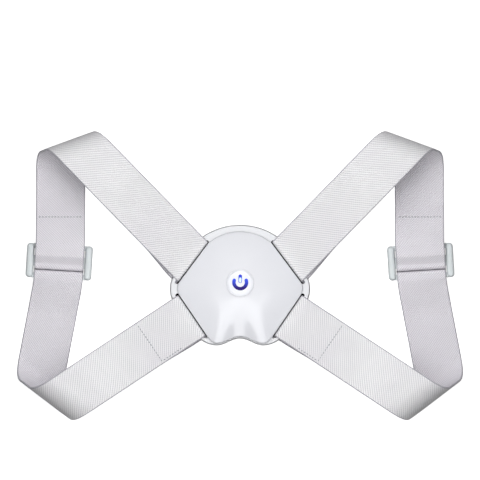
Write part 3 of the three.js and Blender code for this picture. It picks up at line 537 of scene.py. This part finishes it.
MIRROR = {"right": np.array([1, 1, 1]), "left": np.array([-1, 1, 1])}
straps = {"shoulder_strap": joined(shoulder_strap()), "underarm_strap": joined(underarm_strap())}
for strap_name, rows in straps.items():
    grid, cloth_map = strap_grid(rows)
    for side, mirror in MIRROR.items():
        strap = piece(f"{strap_name}_{side}_woven", [grid * mirror], webbing, maps=[cloth_map])
        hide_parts(f"{strap_name}_{side}")
        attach(strap, "corrector")
    print(strap_name, "is", round(float(cloth_map[..., 0].max()) / MM), "mm long")

# %% [markdown]
# ## Outline of the pod
# Seen from above, the cover is a rounded diamond with a crown on top and two lobes with a notch between
# them at the bottom. Each ray from the button crosses it once, so the outline is a distance for each angle.

# %% Outlines round the button
COVER_CROWN, PLATE_CROWN = 6.4, 10.5  # above the inner ends of the upper slots
SIDE_BULGE, SIDE_ROUND, SHOULDER_ROUND = 0.6, 16, 3
LOBE_X, LOBE_ROUND, NOTCH_DEPTH, COVER_INSET = 14.3, 17, 4.2, 1.2
LOBE_BOTTOM = lower_slot["inner"].imag - 5.8

def crown_arc(top, end):
    """An arc centred on the Y axis, from its top to end: radius = (x squared + drop squared) / (2 drop)."""
    drop = top - end.imag
    radius = (end.real**2 + drop**2) / (2 * drop)
    angle = np.linspace(0, np.arcsin(end.real / radius), 60)
    return radius * np.sin(angle) + 1j * (top - radius + radius * np.cos(angle))

def bowed(a, bend, b):
    """A curve from a to b that leaves and arrives along the lines to bend: (1-t)^2 a + 2 t (1-t) bend + t^2 b."""
    t = np.linspace(0, 1, 60)
    return (1 - t) ** 2 * a + 2 * t * (1 - t) * bend + t**2 * b

def notch(above):
    """From the lobe's lowest point to the middle: the notch rises as half a cosine wave."""
    x = np.linspace(LOBE_X, 0, 80)
    return x + 1j * (LOBE_BOTTOM + above + NOTCH_DEPTH * (1 + np.cos(np.pi * x / LOBE_X)) / 2)

ANGLES = np.linspace(-np.pi / 2, 1.5 * np.pi, 720, endpoint=False)

def reach(half, soften=0.0):
    """Distance from the button for each of ANGLES, from an outline's right half. soften rounds its corners:
    it averages over neighbours with weights exp(-(angle / soften)^2 / 2), in degrees."""
    whole = np.concatenate([half[::-1], -np.conj(half[1:])]) - BUTTON_AT
    found = np.interp(ANGLES, np.angle(whole), abs(whole), period=2 * np.pi)
    if soften:
        wave = np.arange(len(ANGLES) // 2 + 1) * np.radians(soften)
        found = np.fft.irfft(np.fft.rfft(found) * np.exp(-(wave**2) / 2), len(ANGLES))
    return found

def run(a, b):
    """A straight line of points: a + (b - a) * t."""
    return a + (b - a) * np.linspace(0, 1, 60)

side_bend = SLOT_CORNER + 2 * SIDE_BULGE
lobe_end = LOBE_X + 1j * (LOBE_BOTTOM + COVER_INSET)
cover_half = np.concatenate([
    crown_arc(upper_slot["inner"].imag + COVER_CROWN, upper_slot["inner"]),
    run(upper_slot["inner"], upper_slot["outer"]),
    bowed(upper_slot["outer"], side_bend, lower_slot["outer"]),
    run(lower_slot["outer"], lower_slot["inner"]),
    bowed(lower_slot["inner"], meeting(lower_slot["inner"], lower_slot["inwards"], lobe_end, 1), lobe_end),
    notch(COVER_INSET),
])
cover_reach = reach(cover_half, 0.7)
soft_reach = reach(cover_half, 9)

upper_edge, lower_edge = (
    slot["inner"] + slot["outwards"] * (SLOT_OPEN + BAR_WIDTH) for slot in (upper_slot, lower_slot)
)
crown = crown_arc(upper_slot["inner"].imag + PLATE_CROWN, upper_edge)
flank = rounded([
    (crown[-2], 0), (upper_edge, SHOULDER_ROUND),
    (meeting(upper_edge, upper_slot["inwards"], lower_edge, lower_slot["inwards"]), SIDE_ROUND),
    (meeting(lower_edge, lower_slot["inwards"], 1j * LOBE_BOTTOM, 1), LOBE_ROUND),
    (0.965 * LOBE_X + 1j * LOBE_BOTTOM, 0),
])
plate_half = np.concatenate([crown[:-2], follow(flank, stops(flank, 0.5, 2))[0], notch(0)[5:]])
plate_reach = reach(plate_half, 0.5)
print("the plate reaches", round(plate_reach.max(), 1), "mm from the button, the cover", round(cover_reach.max(), 1))

# %% [markdown]
# ## White plastics
# The pod is injection-moulded ABS. The cover is polished, so soft lights show in it; the base and its foot
# are satin, with a faint spark-eroded grain. Real mouldings are never quite even, so a slow noise changes
# the roughness a little, and a fine one gives the surface its grain. The button's cap is clear-coated
# polycarbonate, and the sliders are POM, the slippery plastic that buckles are made of.

# %% ABS, polycarbonate and POM
DRIFT_SIZE = 22.2  # mm from a lighter to a darker patch

def moulded(name, colour, shade, rough, grain_mm, depth_mm):
    """Injection-moulded plastic: its colour drifts to shade, its roughness by a fifth, and its grain is
    a bump of depth_mm with patches of grain_mm."""
    material, tree, shader = new_material(name, IOR=1.5)
    place = add(tree, "TexCoord").outputs["Object"]
    drift = add(tree, "TexNoise", {"Vector": place, "Scale": 1 / (DRIFT_SIZE * MM), "Detail": 2.0})
    tint = add(tree, "Mix", {0: drift.outputs["Fac"], 6: linear(colour), 7: linear(shade)}, data_type="RGBA")
    uneven = add(tree, "MapRange", {
        "Value": drift.outputs["Fac"], "To Min": 0.8 * rough, "To Max": 1.2 * rough
    })
    grain = add(tree, "TexNoise", {"Vector": place, "Scale": 1 / (grain_mm * MM), "Detail": 2.0})
    bump = add(tree, "Bump", {"Height": grain.outputs["Fac"], "Distance": depth_mm * MM, "Strength": 1.0})
    tree.links.new(tint.outputs[2], shader.inputs["Base Color"])
    tree.links.new(uneven.outputs[0], shader.inputs["Roughness"])
    tree.links.new(bump.outputs[0], shader.inputs["Normal"])
    return material

# The cover shows soft lights as broad, clear-edged bands.
polished_abs = moulded("polished_abs", "#E2E3E8", "#E0E1E6", 0.16, 3.0, 0.004)
# The base has only a wide, dim gleam, so the eye sees it as a part of its own.
satin_abs = moulded("satin_moulded_abs", "#E4E5E8", "#E0E1E4", 0.36, 0.5, 0.012)
# The cap is the whitest and glossiest surface, which draws the eye to the button.
clear_cap = moulded("clear_coated_polycarbonate", "#F2F3F8", "#EDEFF5", 0.1, 4.0, 0.003)
# POM looks slightly waxy and cool beside the webbing.
moulded_pom = moulded("moulded_pom", "#D8DEDF", "#CFD6D8", 0.38, 0.5, 0.015)
print("ready:", [made.name for made in (polished_abs, satin_abs, clear_cap, moulded_pom)])

# %% [markdown]
# ## The cover
# The cover is a shell: a low dome that is flat round the button and falls to the rim, with a hollow from
# the button down to the notch. It could be a subdivided cage, but a formula keeps the light's reflection
# smooth. Near the button the dome follows a softened outline, so the diamond's corners leave no creases.

# %% Domed cover
RIM_BOTTOM, RIM_TOP = PLATE_TOP + PIECE_GAP, PLATE_TOP + 2.8
DOME_HEIGHT, DOME_POWER = 6, 2.3
GROOVE_DEPTH, GROOVE_HALF = 1.5, 12.8
GROOVE_LIFT = 0.45  # the share of its depth that the hollow loses towards the notch
SHELL_WALL, COVER_EDGE, HOLE_EDGE, BUTTON_RADIUS = 2, 0.8, 0.15, 8.3
HOLE = BUTTON_RADIUS + 0.08  # a hairline, so that the joint shows as a thin line
ALL_ROUND = np.exp(1j * ANGLES)

def cover_height(distance):
    """Rim + dome * (1 - share ^ 2.3) - hollow. share is the way from the button to the softened outline.
    The hollow is a cosine across, and eases in from the button down."""
    edge = soft_reach + (cover_reach - soft_reach) * ease(distance / cover_reach, 0.5, 1)
    share = distance / edge
    plan = BUTTON_AT + distance * ALL_ROUND
    down = ease(BUTTON_AT.imag - 0.6 * BUTTON_RADIUS - plan.imag, 0, -0.9 * LOBE_BOTTOM)
    across = np.where(abs(plan.real) < GROOVE_HALF, (1 + np.cos(np.pi * plan.real / GROOVE_HALF)) / 2, 0)
    hollow = GROOVE_DEPTH * down * across * (1 - GROOVE_LIFT * share**6)
    return RIM_TOP + DOME_HEIGHT * (1 - share**DOME_POWER) - hollow

def rings(distance, height, around=ALL_ROUND):
    """Rows of points round the button: button + distance * direction, and the height."""
    plan = BUTTON_AT + distance * around
    return np.stack([plan.real, plan.imag, height + 0 * plan.real], -1)

t = np.linspace(0, 1, 44)[:, None]
bow = np.radians(np.linspace(0, 90, 8))[1:, None]
lip = HOLE + HOLE_EDGE * (1 - np.sin(bow[::-1])) + 0 * cover_reach
field = HOLE + HOLE_EDGE + (cover_reach - COVER_EDGE - HOLE - HOLE_EDGE) * t
edge = cover_reach - COVER_EDGE * (1 - np.sin(bow))
inner_reach = (1 - SHELL_WALL / SLOT_CORNER.real) * cover_reach
inside = inner_reach + (HOLE - inner_reach) * t[::4]
cover_rows = np.concatenate([
    rings(lip, cover_height(lip) - HOLE_EDGE * (1 - np.cos(bow[::-1]))),
    rings(field, cover_height(field)),
    rings(edge, cover_height(edge) - COVER_EDGE * (1 - np.cos(bow))),
    rings(cover_reach[None], RIM_BOTTOM),
    rings(inside[:1], RIM_BOTTOM),
    rings(inside, np.maximum(cover_height(inside) - SHELL_WALL, RIM_BOTTOM + 0.2)),
])
cover = piece("pod_cover_dome", [cover_rows], polished_abs, loop=True)
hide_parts("pod_cover")
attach(cover, "corrector")
print("the cover is highest at", round(float(cover_rows[..., 2].max()), 1), "mm")

# %% [markdown]
# ## The base
# Below the cover lie a plate with the four slots, a tray that holds the electronics and a flat foot against
# the back. Each is a stack of rings. The slots are cut with a Boolean modifier that is applied at once,
# because a slot's clean edges are easier to cut than to weave into a grid. Under each slot a near-black
# strip lies on the foot. It is painted shade, so the slot's open end reads as deep.

# %% Plate, tray and foot
PLATE_EDGE, PLATE_DRAFT, FOOT_EDGE, FOOT_INSET = 0.45, 0.55, 0.6, 2.4
SLOT_ROUND = 0.9
TRAY_STEPS = [  # how far it is drawn in, as a share, and the height
    (0.17, 0.3), (0.14, 1.2), (0.11, 2.2), (0.07, 3.4), (0.045, 4.6), (0.035, 5.6), (0.03, 6.4)
]

def stacked(outline, steps):
    """Rings of outline - inset from (inset, height) pairs, and at both ends a small ring that closes."""
    rows = [rings((outline * 0.01)[None], steps[0][1])]
    rows += [rings((outline - inset)[None], height) for inset, height in steps]
    return np.concatenate(rows + [rings((outline * 0.01)[None], steps[-1][1])])

def edged(inset, bottom, top, edge, draft=0.0):
    """(inset, height) pairs of a wall whose lower and upper edge are quarter circles: each goes in and up by
    edge * (1 - sine) and edge * (1 - cosine). The wall leans inwards by draft."""
    a = np.radians(np.linspace(0, 90, 6))
    far, near = edge * (1 - np.sin(a)), edge * (1 - np.cos(a))
    return [*zip(inset + far, bottom + near), *zip(inset + draft + near, top - far)]

def slot_block(slot, mirror, low, high, over_outer, over_inner):
    """A block with round corners that fills a slot from low to high, and reaches over at its two ends:
    outer end + length * inwards + width * outwards."""
    length = slot["length"] + over_outer + over_inner
    corners = [length, length + 1j * SLOT_OPEN, 1j * SLOT_OPEN, 0]
    loop = rounded([(length / 2, 0), *((corner, SLOT_ROUND) for corner in corners), (length / 2, 0)])
    shape = follow(loop, stops(loop, 4, 12))[0][:-1] - over_outer
    plan = slot["outer"] + shape.real * slot["inwards"] + shape.imag * slot["outwards"]
    return np.stack([np.stack([plan.real, plan.imag, z + 0 * plan.real], -1) for z in (low, high)]) * mirror

def slot_blocks(low, high, upper_over, lower_over):
    """The blocks of all four slots."""
    ends = ((upper_slot, upper_over), (lower_slot, lower_over))
    return [slot_block(slot, mirror, low, high, *over) for slot, over in ends for mirror in MIRROR.values()]

plate_wall = edged(0, PLATE_BOTTOM, PLATE_TOP, PLATE_EDGE, PLATE_DRAFT)
plate = piece("pod_plate", [stacked(plate_reach, plate_wall)], satin_abs)
blocks = slot_blocks(PLATE_BOTTOM - 1, PLATE_TOP + 1, (1.0, 0.1), (0.6, 1.2))
cutter = piece("slot_blocks", blocks, satin_abs)
cut = plate.modifiers.new("slots", "BOOLEAN")
cut.object, cut.operation, cut.solver = cutter, "DIFFERENCE", "EXACT"
cut_mesh = bpy.data.meshes.new_from_object(plate.evaluated_get(bpy.context.evaluated_depsgraph_get()))
plate.modifiers.clear()
plate.data = cut_mesh
bpy.data.objects.remove(cutter)
plate.data.set_sharp_from_angle(angle=np.radians(40))
tray_reach = reach(cover_half, 2.0)
tray = stacked(tray_reach, [(share * tray_reach, height) for share, height in TRAY_STEPS])
foot = stacked(reach(plate_half, 2.0) - FOOT_INSET, edged(0, 0, SHELL_WALL, FOOT_EDGE))
under = piece("pod_tray_and_foot", [tray, foot], satin_abs)
under.data.set_sharp_from_angle(angle=np.radians(50))

# %% Painted shade strips under the slots
SHADE_STRIP_THICKNESS, SHADE_GRAIN_SIZE = 0.4, 0.4

# A near-black rough sheet with a fine grain: painted shade in the slots, dark from every side.
painted_slot_shade, tree, shader = new_material("near_black_slot_shade", Roughness=0.95, IOR=1.45)
place = add(tree, "TexCoord").outputs["Object"]
shade_grain = add(tree, "TexNoise", {"Vector": place, "Scale": 1 / (SHADE_GRAIN_SIZE * MM), "Detail": 3.0})
tone = add(tree, "Mix", {0: shade_grain.outputs["Fac"], 6: linear("#08080A"), 7: linear("#1A1A1E")}, data_type="RGBA")
tree.links.new(tone.outputs[2], shader.inputs["Base Color"])
# Painted shade: near-black strips on the foot under the four slots, where there is only shade.
shade_strip_blocks = slot_blocks(SHELL_WALL, SHELL_WALL + SHADE_STRIP_THICKNESS, (0.8, 0.3), (0.8, 0.3))
shade_strips = piece("slot_shade_strips", shade_strip_blocks, painted_slot_shade)
shade_strips.data.set_sharp_from_angle(angle=np.radians(50))
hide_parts("pod_base")
for made in (plate, under, shade_strips):
    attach(made, "corrector")

# %% [markdown]
# ## The power button
# The button is a round cap with a shallow dish for the finger, level with the cover. A dish catches light
# on the far side of its slope, which is how the eye reads it as hollow. The cap rides on its own body, so
# it moves when it is pressed.

# %% Dished cap
DISH_SLOPE, DISH_STEP, DISH_DEPTH, BUTTON_EDGE = 1.2, 0.55, 1.1, 0.15
FLANGE_WIDTH, FLANGE_THICKNESS = 1, 1.2  # it keeps the cap under the cover
CAP_SIDES = 120
button_low, button_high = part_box("power_button")
BUTTON_TOP, BUTTON_BOTTOM = button_high.z / MM, button_low.z / MM
BUTTON_RIM = BUTTON_RADIUS - BUTTON_EDGE

def dish(distance):
    """Top - step * (1 - ease of the slope) - bowl * (1 - (distance / rim) squared)."""
    slope = DISH_STEP * (1 - ease(distance, BUTTON_RIM - DISH_SLOPE, BUTTON_RIM))
    return BUTTON_TOP - slope - (DISH_DEPTH - DISH_STEP) * (1 - np.minimum(distance / BUTTON_RIM, 1) ** 2)

turn = np.radians(np.linspace(0, 90, 6))[1:]
inner = np.linspace(0.05, BUTTON_RIM, 36)
flange, flange_top = BUTTON_RADIUS + FLANGE_WIDTH, BUTTON_BOTTOM + FLANGE_THICKNESS
cap_distance = np.concatenate([
    inner, BUTTON_RIM + BUTTON_EDGE * np.sin(turn), [BUTTON_RADIUS, flange, flange, inner[0]],
])
cap_height = np.concatenate([
    dish(inner), BUTTON_TOP - BUTTON_EDGE * (1 - np.cos(turn)),
    [flange_top, flange_top, BUTTON_BOTTOM, BUTTON_BOTTOM],
])
around = np.exp(1j * np.linspace(0, 2 * np.pi, CAP_SIDES, endpoint=False))
cap = piece("button_cap", [rings(cap_distance[:, None], cap_height[:, None], around)], clear_cap)
cap.data.set_sharp_from_angle(angle=np.radians(60))
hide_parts("power_button")
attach(cap, "button")

# %% [markdown]
# ## The power symbol
# The generic power symbol is a ring with a gap and a bar in the gap. It glows through the cap: deep indigo
# at the bottom and blue at the sides. Both are thin pads that lie on the dish, and a smaller, nearly white
# pad lies on the bar, where the lamp below is brightest.

# %% Lit symbol
SYMBOL_AT = 0.15 + 1.7j
SYMBOL_RADIUS, STROKE, SYMBOL_OPEN = 3.85, 2.15, 125  # the ring ends this many degrees from its lowest point
SYMBOL_PROUD = 0.08
BAR_LOW, BAR_HIGH = 1.3, 6.6  # of the bar's line, along Y
PALE_LOW, PALE_LENGTH, PALE_SHARE, PALE_RAISED = 1.6, 3.2, 0.66, 0.1

# Tinted polycarbonate with a lamp behind it keeps its blue in any light, with hardly a highlight.
symbol_blue, tree, shader = new_material(
    "lit_blue_polycarbonate", Roughness=0.35, IOR=1.4, Specular_IOR_Level=0.2, Emission_Strength=0.25
)
place = add(tree, "SeparateXYZ", {0: add(tree, "TexCoord").outputs["Object"]})
rise = add(tree, "MapRange", {"Value": place.outputs["Y"], "From Min": -3.2 * MM, "From Max": BAR_HIGH * MM})
glow = add(tree, "ValToRGB", {0: rise.outputs[0]})
ramp(glow, (0.16, "#241068"), (0.42, "#2A38B0"), (0.66, "#2C48D0"), (1.0, "#2A3CC0"))
tree.links.new(glow.outputs[0], shader.inputs["Base Color"])
tree.links.new(glow.outputs[0], shader.inputs["Emission Color"])
# The pale pad reads as the bright spot of the lamp.
symbol_light, _, _ = new_material(
    "lit_pale_polycarbonate", Roughness=0.35, IOR=1.4, Emission_Strength=0.2,
    Base_Color=linear("#D2E8F6"), Emission_Color=linear("#D2E8F6"),
)

def stroke(line, half_width, raised=0.0):
    """A flat stroke on the dish: line + side * half_width * cosine, and the dish's height plus a lift that
    follows sine ^ 0.6, which makes the section full."""
    way = np.gradient(line)
    side = 1j * way / abs(way)
    a = np.linspace(0, 2 * np.pi, 20, endpoint=False)
    plan = line[:, None] + side[:, None] * half_width[:, None] * np.cos(a)
    lift = SYMBOL_PROUD * np.sign(np.sin(a)) * abs(np.sin(a)) ** 0.6
    return np.stack([plan.real, plan.imag, dish(abs(plan - BUTTON_AT)) + lift + raised], -1)

def pill_width(gone, total):
    """Half the stroke, narrowed to round ends: sqrt(r^2 - (r - distance to the end)^2)."""
    r = STROKE / 2
    near = np.minimum(np.minimum(gone, total - gone), r)
    return np.sqrt(np.maximum(r**2 - (r - near) ** 2, 1e-4))

half_open = np.radians(SYMBOL_OPEN)
angle = np.linspace(-half_open, half_open, 90)
ring_total = 2 * half_open * SYMBOL_RADIUS
ring_line = SYMBOL_AT + SYMBOL_RADIUS * np.exp(1j * (angle - np.pi / 2))
ring_grid = stroke(ring_line, pill_width((angle + half_open) * SYMBOL_RADIUS, ring_total))
bar_line = SYMBOL_AT.real + 1j * np.linspace(BAR_LOW, BAR_HIGH, 40)
bar_grid = stroke(bar_line, pill_width(bar_line.imag - BAR_LOW, BAR_HIGH - BAR_LOW))
pale_line = bar_line[3:26]
pale_width = PALE_SHARE * pill_width(pale_line.imag - PALE_LOW, PALE_LENGTH)
pale_grid = stroke(pale_line - 0.1j, pale_width, PALE_RAISED)
for name, grid, material in (
    ("symbol_ring", ring_grid, symbol_blue),
    ("symbol_bar", bar_grid, symbol_blue),
    ("symbol_bar_light", pale_grid, symbol_light),
):
    made = piece(name, [grid], material)
    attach(made, "button")

# %% [markdown]
# ## The sliders
# A slider is three bars between two thick ears, moulded in one piece. Each bar and ear is a section with
# round corners that is carried along a line and shrinks towards its ends.

# %% Three-bar sliders
def moulded_bar(a, b, half_width, half_height, end_round, power=4.0):
    """A bar from a to b in the slider's own plan. Section: |x / width| ^ p + |z / height| ^ p = 1.
    Near an end it shrinks by r - sqrt(r^2 - (r - distance)^2), where r is end_round."""
    length = abs(b - a)
    gone = length / 2 * (1 - np.cos(np.linspace(0, np.pi, 33)))
    near = np.minimum(np.minimum(gone, length - gone), end_round)
    less = end_round - np.sqrt(np.maximum(end_round**2 - (end_round - near) ** 2, 0))
    c = np.linspace(0, 2 * np.pi, 40, endpoint=False)
    out = np.sign(np.cos(c)) * abs(np.cos(c)) ** (2 / power)
    up = np.sign(np.sin(c)) * abs(np.sin(c)) ** (2 / power)
    side = 1j * unit(b - a)
    plan = (a + unit(b - a) * gone)[:, None] + side * np.maximum(half_width - less, 0.05)[:, None] * out
    height = np.maximum(half_height - less, 0.05)[:, None] * up
    seen = slider_middle + plan * tilted(SLIDER_TILT)
    return np.stack([seen.real, seen.imag, (BAR_BOTTOM + BAR_TOP) / 2 + height], -1)

INNER_HALF, BAR_ROUND = STRAP_WIDTH / 2 + 0.5, 0.3
EAR_WIDTH, EAR_THICKNESS, EAR_ROUND, EAR_POWER = 4.6, 6, 2.1, 3.0
tall, bar_reach, ear_x = 0.5j * SLIDER_HEIGHT, INNER_HALF + 1, INNER_HALF + EAR_WIDTH / 2
levels = [(-SLIDER_HEIGHT / 2, -END_BAR_EDGE), (-MID_BAR_EDGE, MID_BAR_EDGE), (END_BAR_EDGE, SLIDER_HEIGHT / 2)]
slider_grids = [
    moulded_bar(0.5j * (a + b) - bar_reach, 0.5j * (a + b) + bar_reach, (b - a) / 2, BAR_THICKNESS / 2, BAR_ROUND)
    for a, b in levels
] + [
    moulded_bar(x - tall, x + tall, EAR_WIDTH / 2, EAR_THICKNESS / 2, EAR_ROUND, EAR_POWER)
    for x in (-ear_x, ear_x)
]
for side, mirror in MIRROR.items():
    slider = piece(f"slider_{side}_moulding", [grid * mirror for grid in slider_grids], moulded_pom)
    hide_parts(f"slider_{side}")
    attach(slider, "corrector")

# %% [markdown]
# ## Stitches
# Three rows of stitches are seen on each side: one across the strap above the slider, one across the strap
# beside the pod, and from there one along its lower edge. A stitch is a short thread that rises from one
# hole and dives into the next. All stitches of a row are worked out together, as one array.

# %% Stitch rows
STITCH_LENGTH, THREAD_RADIUS, STITCH_RISE, STITCH_SINK = 1.45, 0.3, 0.3, 0.12
ACROSS_PITCH, EDGE_PITCH = 1.9, 2.3
AT_SLIDER, AT_POD, LOWER_EDGE = -28.3, 34.8, -13.2  # places of the rows: along, along and across
PLY_PITCH = 0.698  # between the turns of the thread's plies

# Spun polyester is a little darker than the webbing, and its twist breaks up the light.
polyester_thread, tree, shader = new_material("grey_polyester_thread", Roughness=0.6, Sheen_Weight=0.3, IOR=1.5)
place = add(tree, "TexCoord").outputs["Object"]
ply_scale = 2 * np.pi / (10 * PLY_PITCH * MM)  # a wave texture has 10 * scale radians per metre
ply = add(tree, "TexWave", {"Vector": place, "Scale": ply_scale, "Distortion": 1.0}, bands_direction="DIAGONAL")
tone = add(tree, "Mix", {0: ply.outputs["Fac"], 6: linear("#84878E"), 7: linear("#ACAEB5")}, data_type="RGBA")
twist = add(tree, "Bump", {"Height": ply.outputs["Fac"], "Distance": 0.05 * MM, "Strength": 1.0})
tree.links.new(tone.outputs[2], shader.inputs["Base Color"])
tree.links.new(twist.outputs[0], shader.inputs["Normal"])

def on_strap(rows, along, x, face):
    """Points on a strap's front (face 1) or back (face -1) and the normals there: middle + across * (x /
    half width) + normal * half thickness."""
    middle, across, _ = rows
    pick = lambda values: np.stack([np.interp(along, distances(middle), values[:, k]) for k in range(3)], -1)
    normal = face * pick(front_of(rows))
    return pick(middle) + pick(across) * (x / (STRAP_WIDTH / 2))[:, None] + normal * EDGE_ROUND, normal

def stitches(rows, along, x, face=1):
    """One thread per stitch: a half wave, rise * sine - sink, over the cloth. Its round section has a
    radius of thread * sqrt(sine), so it closes at its ends."""
    start, normal = on_strap(rows, along, x, face)
    ahead, _ = on_strap(rows, np.roll(along, -1), np.roll(x, -1), face)
    way = ahead - start
    way[-1] = way[-2]
    way /= np.linalg.norm(way, axis=1)[:, None]
    side = np.cross(normal, way)
    t = np.linspace(0, 1, 7)
    c = np.linspace(0, 2 * np.pi, 6, endpoint=False)
    thin = THREAD_RADIUS * np.sqrt(np.sin(np.pi * np.clip(t, 0.03, 0.97)))
    rise = STITCH_RISE * np.sin(np.pi * t) - STITCH_SINK
    line = start[:, None] + way[:, None] * (t * STITCH_LENGTH)[:, None] + normal[:, None] * rise[:, None]
    ringed = side[:, None, None] * np.cos(c)[:, None] + normal[:, None, None] * np.sin(c)[:, None]
    return line[:, :, None] + ringed * thin[:, None, None]

def distance_to(rows, place, least_height):
    """How far along the strap lies the station nearest to a place on the table, above least_height."""
    x, y, height = rows[0].T
    far = np.where(height < least_height, np.inf, abs(x + 1j * y - place))
    return distances(rows[0])[np.argmin(far)]

shoulder, underarm = straps["shoulder_strap"], straps["underarm_strap"]
across_x = np.arange(-13.4, 13.0, ACROSS_PITCH)
edge_run = np.arange(1.5, 17.5, EDGE_PITCH)
at_slider = distance_to(shoulder, slider_middle, BAR_TOP) + AT_SLIDER
at_pod = distance_to(underarm, lower_slot["middle"], PLATE_TOP) + AT_POD
rows_of_stitches = {
    "slider_stitches": stitches(shoulder, at_slider + 0 * across_x, across_x, face=-1),
    "pod_stitches": np.concatenate([
        stitches(underarm, at_pod + 0 * across_x, across_x),
        stitches(underarm, at_pod - edge_run, LOWER_EDGE + 0 * edge_run),
    ]),
}
for name, grids in rows_of_stitches.items():
    for side, mirror in MIRROR.items():
        row = piece(f"{name}_{side}", list(grids * mirror), polyester_thread)
        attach(row, "corrector")

# %% [markdown]
# ## Table, light and camera
# The object lies on a white table in a soft, even light. A wide light from the head's side and a small one
# over the middle give the shape, and one from the other side shows only as a highlight in the polished
# cover. The surroundings are dark at the horizon and light above, which leaves the edges and the insides of
# the folds darker. The table glows for the camera only, so it is white without lighting the object from
# below. The camera looks straight down from far away.

# %% White table
TABLE_HALF, TABLE_Z = 20, -0.0001  # metres; a hair below the object

# A matt table gives no reflection; grey for the light that it throws back, so the undersides stay dark.
table_white, tree, shader = new_material("white_table", Roughness=0.9, Base_Color=linear("#909090"))
seen_white = add(tree, "BsdfDiffuse", {"Color": linear("#F4F4F4")})
glow = add(tree, "Emission", {"Color": linear("#FFFFFF"), "Strength": 0.8})
lit = add(tree, "AddShader", {0: seen_white.outputs[0], 1: glow.outputs[0]})
seen = add(tree, "LightPath").outputs["Is Camera Ray"]
both = add(tree, "MixShader", {0: seen, 1: shader.outputs[0], 2: lit.outputs[0]})
tree.links.new(both.outputs[0], tree.nodes["Material Output"].inputs["Surface"])
table_mesh = bpy.data.meshes.new("table")
corners = [(x * TABLE_HALF, y * TABLE_HALF, TABLE_Z) for x, y in ((-1, -1), (1, -1), (1, 1), (-1, 1))]
table_mesh.from_pydata(corners, [], [(0, 1, 2, 3)])
table_mesh.materials.append(table_white)
table = bpy.data.objects.new("table", table_mesh)
bpy.context.scene.collection.objects.link(table)

# %% Studio light
def softbox(name, at, size, watts, shines, aim=(0, 0, 0)):
    """A rectangular area light of a size in metres that looks at a point. The camera doesn't see it. One
    that shines only shows as a highlight, and one that doesn't shine only lights."""
    data = bpy.data.lights.new(name, "AREA")
    data.shape, data.size, data.size_y, data.energy = "RECTANGLE", size[0], size[1], watts
    light = bpy.data.objects.new(name, data)
    light.location = at
    light.rotation_euler = (Vector(aim) - Vector(at)).to_track_quat("-Z", "Y").to_euler()
    light.visible_camera, light.visible_glossy, light.visible_diffuse = False, shines, not shines
    bpy.context.scene.collection.objects.link(light)

softbox("wide_softbox", (-0.1, 0.8, 1.4), (1.4, 1.0), 6, shines=False)
softbox("near_softbox", (0, 0.03, 0.38), (0.2, 0.25), 0.78, shines=False)
softbox("long_softbox", (0.03, -0.8, 1.2), (0.9, 1.3), 14, shines=True)
world = bpy.data.worlds.new("studio_white")
world.use_nodes = True
sky = world.node_tree.nodes["Background"]
sky.inputs["Color"].default_value = (1, 1, 1, 1)
tree = world.node_tree
way = add(tree, "SeparateXYZ", {0: add(tree, "TexCoord").outputs["Generated"]})
rise = add(tree, "MapRange", {"Value": way.outputs["Z"], "To Min": 0.05, "To Max": 0.55})
tree.links.new(rise.outputs[0], sky.inputs["Strength"])
bpy.context.scene.world = world
bpy.context.scene.view_settings.view_transform = "Standard"

# %% Camera above the table
PICTURE_WIDTH = 480 * PIXEL * MM
CAMERA_AT = (0, 0.0275, 10)
camera_data = bpy.data.cameras.new("camera")
camera_data.sensor_width = 36
camera_data.lens = camera_data.sensor_width * CAMERA_AT[2] / PICTURE_WIDTH
camera = bpy.data.objects.new("camera", camera_data)
camera.location = CAMERA_AT
bpy.context.scene.collection.objects.link(camera)
bpy.context.scene.camera = camera
print("the lens is", round(camera_data.lens), "mm long")
